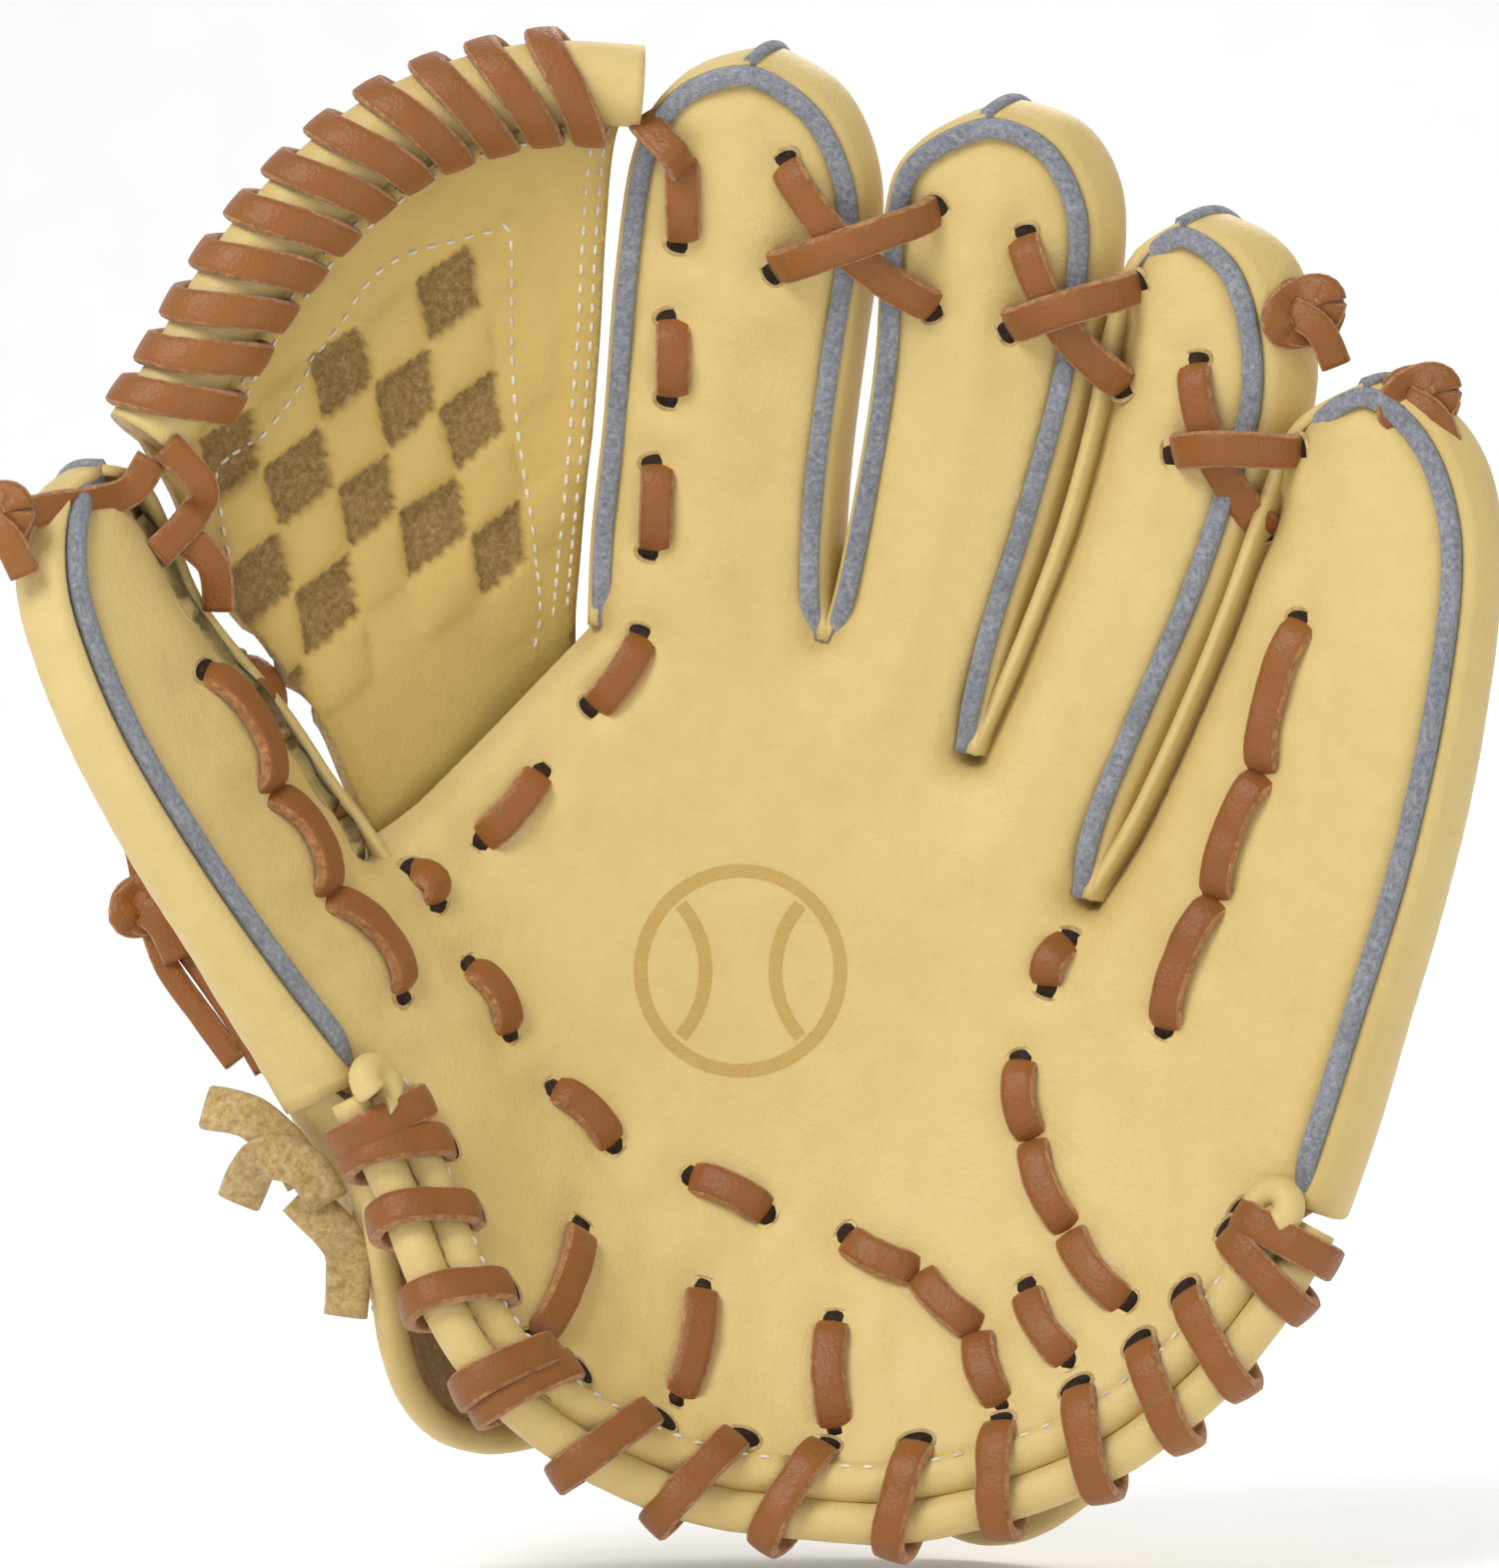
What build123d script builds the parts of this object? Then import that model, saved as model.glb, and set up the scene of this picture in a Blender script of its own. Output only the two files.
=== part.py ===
from build123d import *

# A ten-inch fielding glove for the left hand, standing on its heel with the fingers up.
# +Z runs up the fingers, -Y is the side that catches the ball, and the thumb is at -X.
# All lengths are in millimetres.  The glove is laid out from a point under the middle of the
# wrist mouth, then moved so that the origin is the middle of the bottom of its bounding box.
#
# The catching face is one smooth bowl, "forward(x, z)": how far the palm leather stands in
# front of the origin's plane at each place.  Every layer of the glove is that bowl moved back
# by a depth along its normal, so the layers stack without touching.

import os
from collections import namedtuple
from math import hypot, sqrt

os.makedirs("parts", exist_ok=True)

# ---------------------------------------------------------------- driving dimensions
LEATHER = 2.6  # palm and back leather
GAP = 0.3  # between neighbouring layers
WELT = 1.0  # welting strip, sandwiched in each finger seam
WELT_PROUD, WELT_WIDTH = 1.0, 4.0
WALL = 2.2  # back leather of a finger stall
SEAM_HALF, SEAM_WELT_HALF = 0.9, 0.6  # half the seam up a finger's back, and half its welt
LINING = 1.2  # thin inner leather
PADDING = 3.6  # felt under the palm leather
STIFFENER = 1.4  # plastic insert of the thumb and of the little finger
STIFF_INSET = 5.4  # from a stiffened finger's wall to its insert and pad
LACE_WIDTH, LACE_THICKNESS, LACE_LIFT = 6.0, 1.8, 0.7
LACE_END = LACE_WIDTH / 3  # how far a stitch reaches past the middle of its hole
OVER_LIFT = LACE_THICKNESS + LACE_LIFT  # of a strand that crosses over another
ROLL_RADIUS = 3.2  # rolled binding along the heel
RIM_RADIUS = 6.2  # thick rolled rim of the web
ROLL_CLEARANCE = 0.6  # between a roll and the lace round it
WEB_PANEL = 2.2  # each of the web's two leathers
HAND_SPACE = 27.0  # from the palm lining to the back of the hand
REACH = 250.0  # longer than the glove in any direction
HOME = (-1.54, 10.66, -2.25)  # from the layout point to the finished glove's origin

# The bowl: curled finger tips, curled heel, and a ramp at each side.
POCKET_TOP, POCKET_BOTTOM, GLOVE_TOP = 120.0, 92.0, 254.0
TIP_CURL, HEEL_CURL = 34.0, 26.0
THUMB_SLOPE, THUMB_SOFTNESS = 1.50, 18.0
PINKY_SLOPE, PINKY_SOFTNESS = 0.70, 30.0

# Foot of each ramp: x at z = 0 and its change per millimetre of height.
THUMB_FOOT, THUMB_FOOT_LEAN = -0.5, -0.42
PINKY_FOOT, PINKY_FOOT_LEAN = 33.0, 0.20

# The web's bowl lies behind the palm's, and ramps up from its own foot towards the thumb.
WEB_CURL, WEB_SLOPE, WEB_SOFTNESS = 0.9, 0.58, 14.0
WEB_BACK_SET, WEB_FOOT_SHIFT = 7.0, 6.0

# The back of the hand is a flatter bowl that closes on the fingers at the knuckles.
BACK_FLATNESS, KNUCKLE_RISE, KNUCKLE_START, KNUCKLE_RUN = 0.45, 11.0, 100.0, 50.0

# Fold lines of the thumb and of the little finger, as (x, z) at the heel and at the crotch.
THUMB_FOLD = ((-25.0, 24.0), (-41.4, 140.0))
PINKY_FOLD = ((56.0, 20.0), (57.5, 111.0))
FOLD_GAP = 1.2  # from a fold line to the leather on each side of it

# One stall: base and tip centres in the front view, half widths there, how far the tip reaches
# past its centre, the stall's thickness at the base and at the tip, and how far below the base
# centre its back begins.
Stall = namedtuple("Stall", "name base tip base_half tip_half reach base_thick tip_thick below")
THUMB = Stall("thumb", (-54.0, 90.0), (-98.5, 165.0), 13.0, 9.8, 16.5, 20.0, 14.0, 0.0)
INDEX = Stall("index", (-5.5, 160.0), (0.8, 229.5), 19.0, 17.8, 17.8, 24.0, 16.0, 12.0)
MIDDLE = Stall("middle", (30.0, 158.0), (41.0, 223.5), 14.0, 15.8, 15.8, 24.0, 16.0, 12.0)
RING = Stall("ring", (57.0, 146.0), (72.5, 210.0), 12.4, 12.6, 12.6, 24.0, 16.0, 12.0)
PINKY = Stall("pinky", (80.5, 95.0), (101.3, 178.5), 21.0, 15.6, 15.6, 24.0, 16.0, 0.0)
PALM_STALLS = (INDEX, MIDDLE, RING)
STALL_DEPTH = LEATHER + WELT + 4 * GAP

# The heel's edge in the front view, in three runs, and how many times the lace goes round each.
THUMB_HEEL = ((-55.8, 70.4), (-53.0, 64.5), (-46.5, 50.0), (-38.5, 37.0), (-31.0, 29.5))
PALM_HEEL = ((-19.0, 20.5), (-8.0, 16.1), (8.0, 12.9), (24.5, 12.1), (40.8, 15.3), (51.0, 19.0))
PINKY_HEEL = ((61.5, 24.2), (71.7, 32.4), (83.1, 46.3), (91.3, 59.3))
THUMB_WRAPS, PALM_WRAPS, PINKY_WRAPS, RIM_WRAPS = 4, 5, 4, 11

# Centre line of the web's rim, and the edge of the web below it.
RIM_PATH = (
    (-97.5, 191.0), (-90.0, 203.0), (-77.0, 221.5), (-62.0, 236.0), (-42.0, 246.0), (-19.5, 247.5),
)
WEB_TOP = (
    (-20.5, 238.4), (-40.0, 237.4), (-57.0, 229.0), (-70.5, 216.0), (-83.0, 197.5), (-86.5, 188.5),
)
WEB_THUMB_SIDE = ((-81.5, 177.0), (-74.5, 160.0), (-61.0, 138.0), (-55.5, 131.0))
WEB_FOOT = (-26.5, 160.8)

# Laced runs on the catching face, each a chain of stitches from hole to hole in the front view.
PALM_CHAINS = (
    ((17.6, 52.8), (31.0, 47.1), (40.8, 37.3), (44.6, 28.5)),
    ((-8.2, 44.7), (-8.2, 27.5)),
    ((15.5, 39.0), (15.5, 24.5)),
    ((48.1, 83.0), (50.5, 68.3), (52.6, 57.0)),
    ((46.5, 46.0), (51.5, 38.0)),
    ((-2.1, 63.6), (-2.1, 55.1)),
    ((-26.1, 78.1), (-26.1, 68.3)),
    ((-35.0, 132.0), (-34.0, 120.0)),
    ((-20.5, 153.0), (-19.9, 141.6)),
    ((53.4, 103.3), (51.6, 95.2)),
)
WEB_SIDE_CHAINS = (
    ((-9.8, 233.7), (-9.8, 219.9)),
    ((-11.4, 207.2), (-11.4, 195.1)),
    ((-14.2, 183.2), (-14.2, 169.0)),
)
THUMB_CHAINS = (
    ((-87.5, 149.0), (-76.9, 128.6), (-67.2, 111.5), (-54.6, 95.2)),
    ((-75.5, 150.0), (-73.5, 143.0)),
    ((-43.2, 99.3), (-43.2, 87.9)),
    ((-33.0, 54.0), (-36.5, 43.0)),
)
PINKY_CHAINS = (
    ((93.7, 156.3), (87.2, 131.5), (79.5, 110.4), (70.9, 89.5)),
    ((60.5, 51.0), (66.2, 43.5)),
)
THUMB_TIP_CHAIN = ((-109.0, 180.0), (-100.5, 171.5), (-95.0, 165.5))
THUMB_TAIL_CHAIN = ((-104.0, 128.0), (-101.0, 112.0), (-95.0, 96.0), (-88.0, 82.0))

# The crossed laces between neighbouring fingers: the under strand, then the one over it.
CROSSES = (
    (((7.3, 233.0), (32.6, 209.0)), ((4.9, 217.0), (33.4, 225.0))),
    (((46.5, 221.5), (63.6, 195.4)), ((44.0, 206.9), (66.0, 211.7))),
)
RING_CROSS_ENDS = (((75.0, 200.3), (77.6, 192.6)), ((71.7, 185.7), (76.6, 185.6)))
PINKY_CROSS_ENDS = (((82.5, 179.0), (85.6, 170.2)), ((85.0, 185.1), (93.9, 184.9)))

# Front-view outlines of the palm's inner layers, and of the leather over the back of the hand.
PALM_CORE = (
    (-36.0, 132.0), (-22.0, 142.5), (12.0, 142.5), (34.0, 130.0), (50.0, 108.0),
    (49.5, 36.0), (24.0, 29.0), (-8.0, 33.0), (-18.0, 41.0),
)
HAND_BACK = (
    (-30.0, 70.0), (-34.0, 116.0), (-22.0, 142.0), (38.0, 138.0), (52.0, 124.0), (52.0, 70.0),
)

# Corners of the leathers that join the fingers: of the palm between the fold lines, and of the
# thumb's and the little finger's own pieces outside them.
PALM_CORNERS = (
    (-24.6, 157.0), (13.0, 155.0), (38.0, 137.0), (45.0, 144.0), (67.0, 139.0), (60.3, 123.0),
)
PALM_FOLD_ENDS = ((28.5, 140.0), (25.5, 112.0))  # heights on the thumb's and the pinky's fold
THUMB_CORNERS, THUMB_FOLD_ENDS = ((-66.0, 90.0), (-66.0, 112.0), (-59.5, 121.3)), (32.5, 138.0)
PINKY_CORNERS, PINKY_FOLD_ENDS = ((92.0, 64.0), (101.0, 92.0), (84.0, 108.0)), (28.0, 110.0)

# The strap across the back of the wrist.
STRAP_LEFT, STRAP_RIGHT, STRAP_BOTTOM, STRAP_TOP = -42.0, 54.0, 44.0, 66.0


# ---------------------------------------------------------------- the bowl and its layers
def ramp(run, softness):
    """Nothing well before run = 0, and run itself well after it, with a rounded foot."""
    return (run + hypot(run, softness)) / 2


def side_ramps(x, z):
    thumb = ramp(THUMB_SLOPE * (THUMB_FOOT + THUMB_FOOT_LEAN * z - x), THUMB_SOFTNESS)
    pinky = ramp(PINKY_SLOPE * (x - PINKY_FOOT - PINKY_FOOT_LEAN * z), PINKY_SOFTNESS)
    return thumb + pinky


def curl(z):
    tips = TIP_CURL * (max(0.0, z - POCKET_TOP) / (GLOVE_TOP - POCKET_TOP)) ** 2
    heel = HEEL_CURL * (max(0.0, POCKET_BOTTOM - z) / POCKET_BOTTOM) ** 2
    return tips + heel


FLOOR = side_ramps(-5.0, 105.0)  # puts the bottom of the pocket in the plane y = 0


def forward(x, z):
    """How far the catching face stands in front of the origin's plane."""
    return curl(z) + side_ramps(x, z) - FLOOR


def fold_x(fold, z):
    """Where a fold line passes at height z in the front view."""
    (x0, z0), (x1, z1) = fold
    return x0 + (x1 - x0) * (z - z0) / (z1 - z0)


def web_forward(x, z):
    foot = fold_x(THUMB_FOLD, z) + WEB_FOOT_SHIFT
    return WEB_CURL * curl(z) + ramp(WEB_SLOPE * (foot - x), WEB_SOFTNESS) - WEB_BACK_SET


def hand_back(x, z):
    knuckles = KNUCKLE_RISE * (max(0.0, z - KNUCKLE_START) / KNUCKLE_RUN) ** 2
    inside = LEATHER + PADDING + LINING + 3 * GAP + HAND_SPACE
    return BACK_FLATNESS * forward(x, z) + knuckles - inside


PROBE = 0.05  # half the distance over which a slope is measured


def layer_frame(x, z, depth=0.0, surface=forward):
    """The point under (x, z), moved back by depth along the surface normal, and that normal."""
    dx = (surface(x + PROBE, z) - surface(x - PROBE, z)) / (2 * PROBE)
    dz = (surface(x, z + PROBE) - surface(x, z - PROBE)) / (2 * PROBE)
    back = Vector(dx, 1, dz).normalized()
    return Vector(x, -surface(x, z), z) + back * depth, back


def layer_point(x, z, depth=0.0, surface=forward):
    return layer_frame(x, z, depth, surface)[0]


def save(part, label):
    placed = part.moved(Location(HOME))
    placed.label = label
    export_step(placed, f"parts/{label}.step")


SHEET_MARGIN, SHEET_STEPS = 22.0, 21  # how far a sheet passes its outline, and its grid


def sheet_range(low, high):
    first, run = low - SHEET_MARGIN, high - low + 2 * SHEET_MARGIN
    return [first + run * i / SHEET_STEPS for i in range(SHEET_STEPS + 1)]


def build_layer(label, outline, depth, thickness, surface=forward):
    """One sheet of the bowl at a depth, thickened straight back, cut to a front-view outline."""
    box = outline.bounding_box()
    columns = sheet_range(box.min.X, box.max.X)
    rows = sheet_range(box.min.Z, box.max.Z)
    grid = [[layer_point(x, z, depth, surface) for x in columns] for z in rows]
    face = Face.make_surface_from_array_of_points(grid)
    with BuildPart() as layer:
        extrude(face, amount=thickness, dir=(0, 1, 0))
        extrude(outline, amount=REACH, both=True, mode=Mode.INTERSECT)
    save(layer.part, label)


# ---------------------------------------------------------------- outlines in the front view
def stall_axis(stall):
    """Length of the stall between its two centres, and its direction in the front view."""
    dx, dz = stall.tip[0] - stall.base[0], stall.tip[1] - stall.base[1]
    length = hypot(dx, dz)
    return length, dx / length, dz / length


def along_stall(stall, distance, across=0.0):
    """A place in the front view, measured from the stall's base centre."""
    _, ux, uz = stall_axis(stall)
    x, z = stall.base
    return x + ux * distance + uz * across, z + uz * distance - ux * across


def stall_outline(stall, grow=0.0):
    """The finger seen from the front, wider by grow on every side."""
    with BuildSketch(Plane.XZ) as outline:
        with Locations(stall.base):
            Circle(stall.base_half + grow)
        with Locations(stall.tip):
            Circle(stall.tip_half + grow)
        nose = stall.tip_half / 2
        if stall.reach > stall.tip_half and nose + grow > 0:
            with Locations(along_stall(stall, stall_axis(stall)[0] + stall.reach - nose)):
                Circle(nose + grow)
        make_hull()
    return outline.sketch


def polygon(points):
    with BuildSketch(Plane.XZ) as patch:
        with BuildLine():
            Polyline(*points, close=True)
        make_face()
    return patch.sketch


def welt_outline(stall):
    """A band along the finger's edge, open at the base."""
    start = stall.base_half / 4
    below = [along_stall(stall, -REACH / 2, -REACH), along_stall(stall, -REACH / 2, REACH)]
    above = [along_stall(stall, start, REACH), along_stall(stall, start, -REACH)]
    with BuildSketch(Plane.XZ) as band:
        add(stall_outline(stall, WELT_PROUD))
        add(stall_outline(stall, WELT_PROUD - WELT_WIDTH), mode=Mode.SUBTRACT)
        add(polygon(below + above), mode=Mode.SUBTRACT)
    return band.sketch


def joined(body_points, *stalls):
    """A leather that runs from the palm up the front of one or more fingers."""
    with BuildSketch(Plane.XZ) as outline:
        add(polygon(body_points))
        for stall in stalls:
            add(stall_outline(stall))
    return outline.sketch


def inset_path(points, inset):
    """A run of the heel's edge moved up into the glove."""
    moved = []
    for i, (x, z) in enumerate(points):
        (x0, z0), (x1, z1) = points[max(i - 1, 0)], points[min(i + 1, len(points) - 1)]
        run = hypot(x1 - x0, z1 - z0)
        moved.append((x - (z1 - z0) / run * inset, z + (x1 - x0) / run * inset))
    return moved


HEEL_INSET = ROLL_RADIUS + ROLL_CLEARANCE + LACE_THICKNESS + GAP


def on_fold(fold, z, offset):
    return fold_x(fold, z) + offset, z


def palm_outline():
    """From the web's corner over the crotches, down one fold, along the heel and up the other."""
    (thumb_low, thumb_high), (pinky_low, pinky_high) = PALM_FOLD_ENDS
    web_corner = on_fold(THUMB_FOLD, thumb_high, FOLD_GAP)
    pinky_side = [on_fold(PINKY_FOLD, z, -FOLD_GAP) for z in (pinky_high, pinky_low)]
    heel = inset_path(PALM_HEEL, HEEL_INSET)[::-1][1:]
    thumb_corner = on_fold(THUMB_FOLD, thumb_low, FOLD_GAP)
    return joined([web_corner, *PALM_CORNERS, *pinky_side, *heel, thumb_corner], *PALM_STALLS)


def thumb_body_points():
    low, high = THUMB_FOLD_ENDS
    fold = [on_fold(THUMB_FOLD, z, -FOLD_GAP) for z in (high, low)]
    return [*fold, *inset_path(THUMB_HEEL, HEEL_INSET)[::-1][1:], *THUMB_CORNERS]


def pinky_body_points():
    low, high = PINKY_FOLD_ENDS
    fold = [on_fold(PINKY_FOLD, z, FOLD_GAP) for z in (high, low)]
    return [*inset_path(PINKY_HEEL, HEEL_INSET)[1:], *PINKY_CORNERS, *fold]


# ---------------------------------------------------------------- finger stalls
def stall_plane(stall, distance):
    """A cross-section plane: local x runs across the finger and local y towards its back."""
    x, z = along_stall(stall, distance)
    right, left = along_stall(stall, distance, 1.0), along_stall(stall, distance, -1.0)
    up, down = along_stall(stall, distance + 1.0), along_stall(stall, distance - 1.0)
    across = layer_point(*right, STALL_DEPTH) - layer_point(*left, STALL_DEPTH)
    along = layer_point(*up, STALL_DEPTH) - layer_point(*down, STALL_DEPTH)
    return Plane(layer_point(x, z, STALL_DEPTH), x_dir=across, z_dir=along), across.length / 2


LEAST_INNER_RADIUS, CORNER_SHARE = 0.6, 0.45
CHAMFER = 0.7  # of the lining's corner, as a share of the radius outside it
MID_SHARES = (0.35, 0.7)
CAP_SHARES = (0.0, 0.5, 0.78, 0.92)  # shares of the tip's reach


def stall_stations(stall):
    """Cross-sections up a finger: plane, true half width there, and thickness."""
    length = stall_axis(stall)[0]
    stations = []
    for share in (-stall.below / length,) + MID_SHARES:
        half = stall.base_half + (stall.tip_half - stall.base_half) * max(0.0, share)
        thick = stall.base_thick + (stall.tip_thick - stall.base_thick) * max(0.0, share)
        stations.append((share * length, half, thick))
    for share in CAP_SHARES:
        round_off = sqrt(1 - share**2)
        thick = stall.tip_thick * (1 + round_off) / 2
        stations.append((length + share * stall.reach, stall.tip_half * round_off, thick))
    for distance, half, thick in stations:
        plane, stretch = stall_plane(stall, distance)
        yield plane, half * stretch, thick


def corner_radius(half, thick):
    """Outer radius between a stall's side and its back."""
    return max(WALL + LEAST_INNER_RADIUS, CORNER_SHARE * min(half, thick))


def half_shell_face(plane, half, thick, side):
    """One half of a stall's U-shaped section, from its front edge to the seam up its back."""
    corner = corner_radius(half, thick)
    inner = corner - WALL
    near, bend = side * (half - WALL), thick - corner
    turn, seam = side * (half - corner), side * SEAM_HALF
    with BuildSketch(plane) as face:
        with BuildLine():
            Polyline((near, bend), (near, 0), (side * half, 0), (side * half, bend))
            RadiusArc((side * half, bend), (turn, thick), -side * corner)
            Polyline((turn, thick), (seam, thick), (seam, thick - WALL), (turn, thick - WALL))
            RadiusArc((turn, thick - WALL), (near, bend), side * inner)
        make_face()
    return face.sketch


def build_half_back(stall, side, label):
    faces = [half_shell_face(*station, side) for station in stall_stations(stall)]
    with BuildPart() as back:
        loft(faces, ruled=True)
    save(back.part, label)


def build_seam_welt(stall):
    """The strip between a stall's two halves, ending in a tall foot behind the finger tip."""
    faces = []
    stations = list(stall_stations(stall))
    for plane, _, thick in stations:
        near = GAP if plane is stations[-1][0] else thick - WALL
        with BuildSketch(plane) as face:
            with Locations((0, (near + thick + WELT_PROUD) / 2)):
                Rectangle(2 * SEAM_WELT_HALF, thick + WELT_PROUD - near)
        faces.append(face.sketch)
    with BuildPart() as welt:
        loft(faces, ruled=True)
    save(welt.part, f"{stall.name}_seam_welt")


def build_stall_lining(stall, near):
    """The sleeve for the finger, seamed down its front and open at its base."""
    faces = []
    for plane, half, thick in list(stall_stations(stall))[:-1]:
        wide, far = half - WALL - 2 * GAP, thick - WALL - 2 * GAP
        cut = CHAMFER * (corner_radius(half, thick) - WALL)
        outer = [(GAP, near), (wide, near), (wide, far - cut), (wide - cut, far)]
        inner = [
            (GAP, near + LINING), (wide - LINING, near + LINING),
            (wide - LINING, far - LINING - cut), (wide - LINING - cut, far - LINING),
        ]
        left = [(-x, z) for x, z in outer[::-1] + inner]
        with BuildSketch(plane) as face:
            with BuildLine():
                Polyline(*outer, *left, *inner[::-1], close=True)
            make_face()
        faces.append(face.sketch)
    with BuildPart() as sleeve:
        loft(faces, ruled=True)
    save(sleeve.part, f"{stall.name}_lining")


def build_stall(stall, thumb_side, pinky_side, stiffened=False):
    """Every piece of one finger but its front leather."""
    build_half_back(stall, -1, f"{stall.name}_{thumb_side}")
    build_half_back(stall, 1, f"{stall.name}_{pinky_side}")
    build_seam_welt(stall)
    build_layer(f"{stall.name}_welt", welt_outline(stall), LEATHER + GAP, WELT)
    core = stall_outline(stall, -WALL - (STIFF_INSET if stiffened else WELT_WIDTH / 2))
    build_layer(f"{stall.name}_pad", core, LEATHER + GAP, PADDING)
    if stiffened:
        build_layer(f"{stall.name}_stiffener", core, LEATHER + PADDING + 2 * GAP, STIFFENER)
    build_stall_lining(stall, PADDING - WELT + STIFFENER + GAP)


# ---------------------------------------------------------------- rolls and laces
def build_roll(label, points, depth, radius, surface=forward):
    """A round roll along a path on the bowl."""
    with BuildPart() as roll:
        with BuildLine() as path:
            Spline(*[layer_point(x, z, depth, surface) for x, z in points])
        with BuildSketch(Plane(path.line @ 0, z_dir=path.line % 0)):
            Circle(radius)
        sweep()
    save(roll.part, label)


ROLL_DEPTH = LEATHER / 2
ROLL_STEP = 2 * ROLL_RADIUS + 2 * GAP  # from the palm's roll to the lining's roll


def path_at(points, share):
    """A place on a front-view path, and the direction of the path there."""
    with BuildLine(mode=Mode.PRIVATE) as path:
        Spline(*points)
    place, run = path.line @ share, path.line % share
    return (place.X, place.Y), run


def build_wraps(label, points, count, radius, step, depth, surface=forward):
    """Turns of lace round one roll, or round two rolls that lie a step apart."""
    inner = radius + ROLL_CLEARANCE
    with BuildPart() as wraps:
        for i in range(count):
            (x, z), run = path_at(points, (i + 0.5) / count)
            centre, back = layer_frame(x, z, depth + step / 2, surface)
            ahead = layer_point(x + run.X, z + run.Y, depth, surface)
            behind = layer_point(x - run.X, z - run.Y, depth, surface)
            with BuildSketch(Plane(centre, x_dir=back, z_dir=ahead - behind)) as ring:
                for grow, mode in ((LACE_THICKNESS, Mode.ADD), (0.0, Mode.SUBTRACT)):
                    if step:
                        SlotCenterToCenter(step, 2 * (inner + grow), mode=mode)
                    else:
                        Circle(inner + grow, mode=mode)
            extrude(ring.sketch, amount=LACE_WIDTH / 2, both=True)
    save(wraps.part, label)


def stitch_face(start, end, lift):
    """The outline of one straight stitch between two places on the catching face."""
    depth = -LACE_LIFT - LACE_THICKNESS / 2 - lift
    (first, back), (second, back_too) = layer_frame(*start, depth), layer_frame(*end, depth)
    plane = Plane((first + second) / 2, x_dir=second - first, z_dir=back + back_too)
    with BuildSketch(plane) as stitch:
        SlotOverall((second - first).length + LACE_END, LACE_WIDTH)
    return stitch.sketch


def chain_faces(chain, lift):
    """The stitches of one chain, each held back from the hole that it shares with the next."""
    for (x0, z0), (x1, z1) in zip(chain, chain[1:]):
        hold_back = LACE_END / hypot(x1 - x0, z1 - z0) if len(chain) > 2 else 0.0
        dx, dz = (x1 - x0) * hold_back, (z1 - z0) * hold_back
        yield stitch_face((x0 + dx, z0 + dz), (x1 - dx, z1 - dz), lift)


def build_stitches(label, chains, over_chains=()):
    """A lace that dives through the leather at every hole, with some chains over the others."""
    faces = [face for chain in chains for face in chain_faces(chain, 0.0)]
    faces += [face for chain in over_chains for face in chain_faces(chain, OVER_LIFT)]
    with BuildPart() as lace:
        for face in faces:
            extrude(face, amount=LACE_THICKNESS / 2, both=True)
    save(lace.part, label)


# ---------------------------------------------------------------- the palm
build_layer("palm_leather", palm_outline(), 0.0, LEATHER)
palm_core = polygon(PALM_CORE)
build_layer("palm_pad", palm_core, LEATHER + GAP, PADDING)
build_layer("palm_lining", palm_core, LEATHER + PADDING + 2 * GAP, LINING)
build_layer("hand_back_panel", polygon(HAND_BACK), 0.0, LEATHER, hand_back)
for stall in PALM_STALLS:
    build_stall(stall, "back_thumb_side", "back_pinky_side")
build_roll("palm_heel_roll", PALM_HEEL, ROLL_DEPTH, ROLL_RADIUS)
build_roll("palm_lining_roll", PALM_HEEL, ROLL_DEPTH + ROLL_STEP, ROLL_RADIUS)
build_wraps("palm_heel_lace", PALM_HEEL, PALM_WRAPS, ROLL_RADIUS, ROLL_STEP, ROLL_DEPTH)
build_stitches("palm_lace", PALM_CHAINS)
build_stitches("index_web_lace", WEB_SIDE_CHAINS)
under = [cross[0] for cross in CROSSES] + [RING_CROSS_ENDS[0]]
over = [cross[1] for cross in CROSSES] + [RING_CROSS_ENDS[1]]
build_stitches("finger_cross_lace", under, over)

# ---------------------------------------------------------------- the thumb
build_layer("thumb_leather", joined(thumb_body_points(), THUMB), 0.0, LEATHER)
build_stall(THUMB, "back_outer", "back_web_side", stiffened=True)
build_roll("thumb_heel_roll", THUMB_HEEL, ROLL_DEPTH, ROLL_RADIUS)
build_roll("thumb_lining_roll", THUMB_HEEL, ROLL_DEPTH + ROLL_STEP, ROLL_RADIUS)
build_wraps("thumb_heel_lace", THUMB_HEEL, THUMB_WRAPS, ROLL_RADIUS, ROLL_STEP, ROLL_DEPTH)
build_stitches("thumb_loop_lace", THUMB_CHAINS)
build_stitches("thumb_tip_lace", [THUMB_TIP_CHAIN])

# ---------------------------------------------------------------- the little finger
build_layer("pinky_leather", joined(pinky_body_points(), PINKY), 0.0, LEATHER)
build_stall(PINKY, "back_thumb_side", "back_outer", stiffened=True)
build_roll("pinky_heel_roll", PINKY_HEEL, ROLL_DEPTH, ROLL_RADIUS)
build_roll("pinky_lining_roll", PINKY_HEEL, ROLL_DEPTH + ROLL_STEP, ROLL_RADIUS)
build_wraps("pinky_heel_lace", PINKY_HEEL, PINKY_WRAPS, ROLL_RADIUS, ROLL_STEP, ROLL_DEPTH)
build_stitches("pinky_loop_lace", PINKY_CHAINS + PINKY_CROSS_ENDS[:1], PINKY_CROSS_ENDS[1:])

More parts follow.
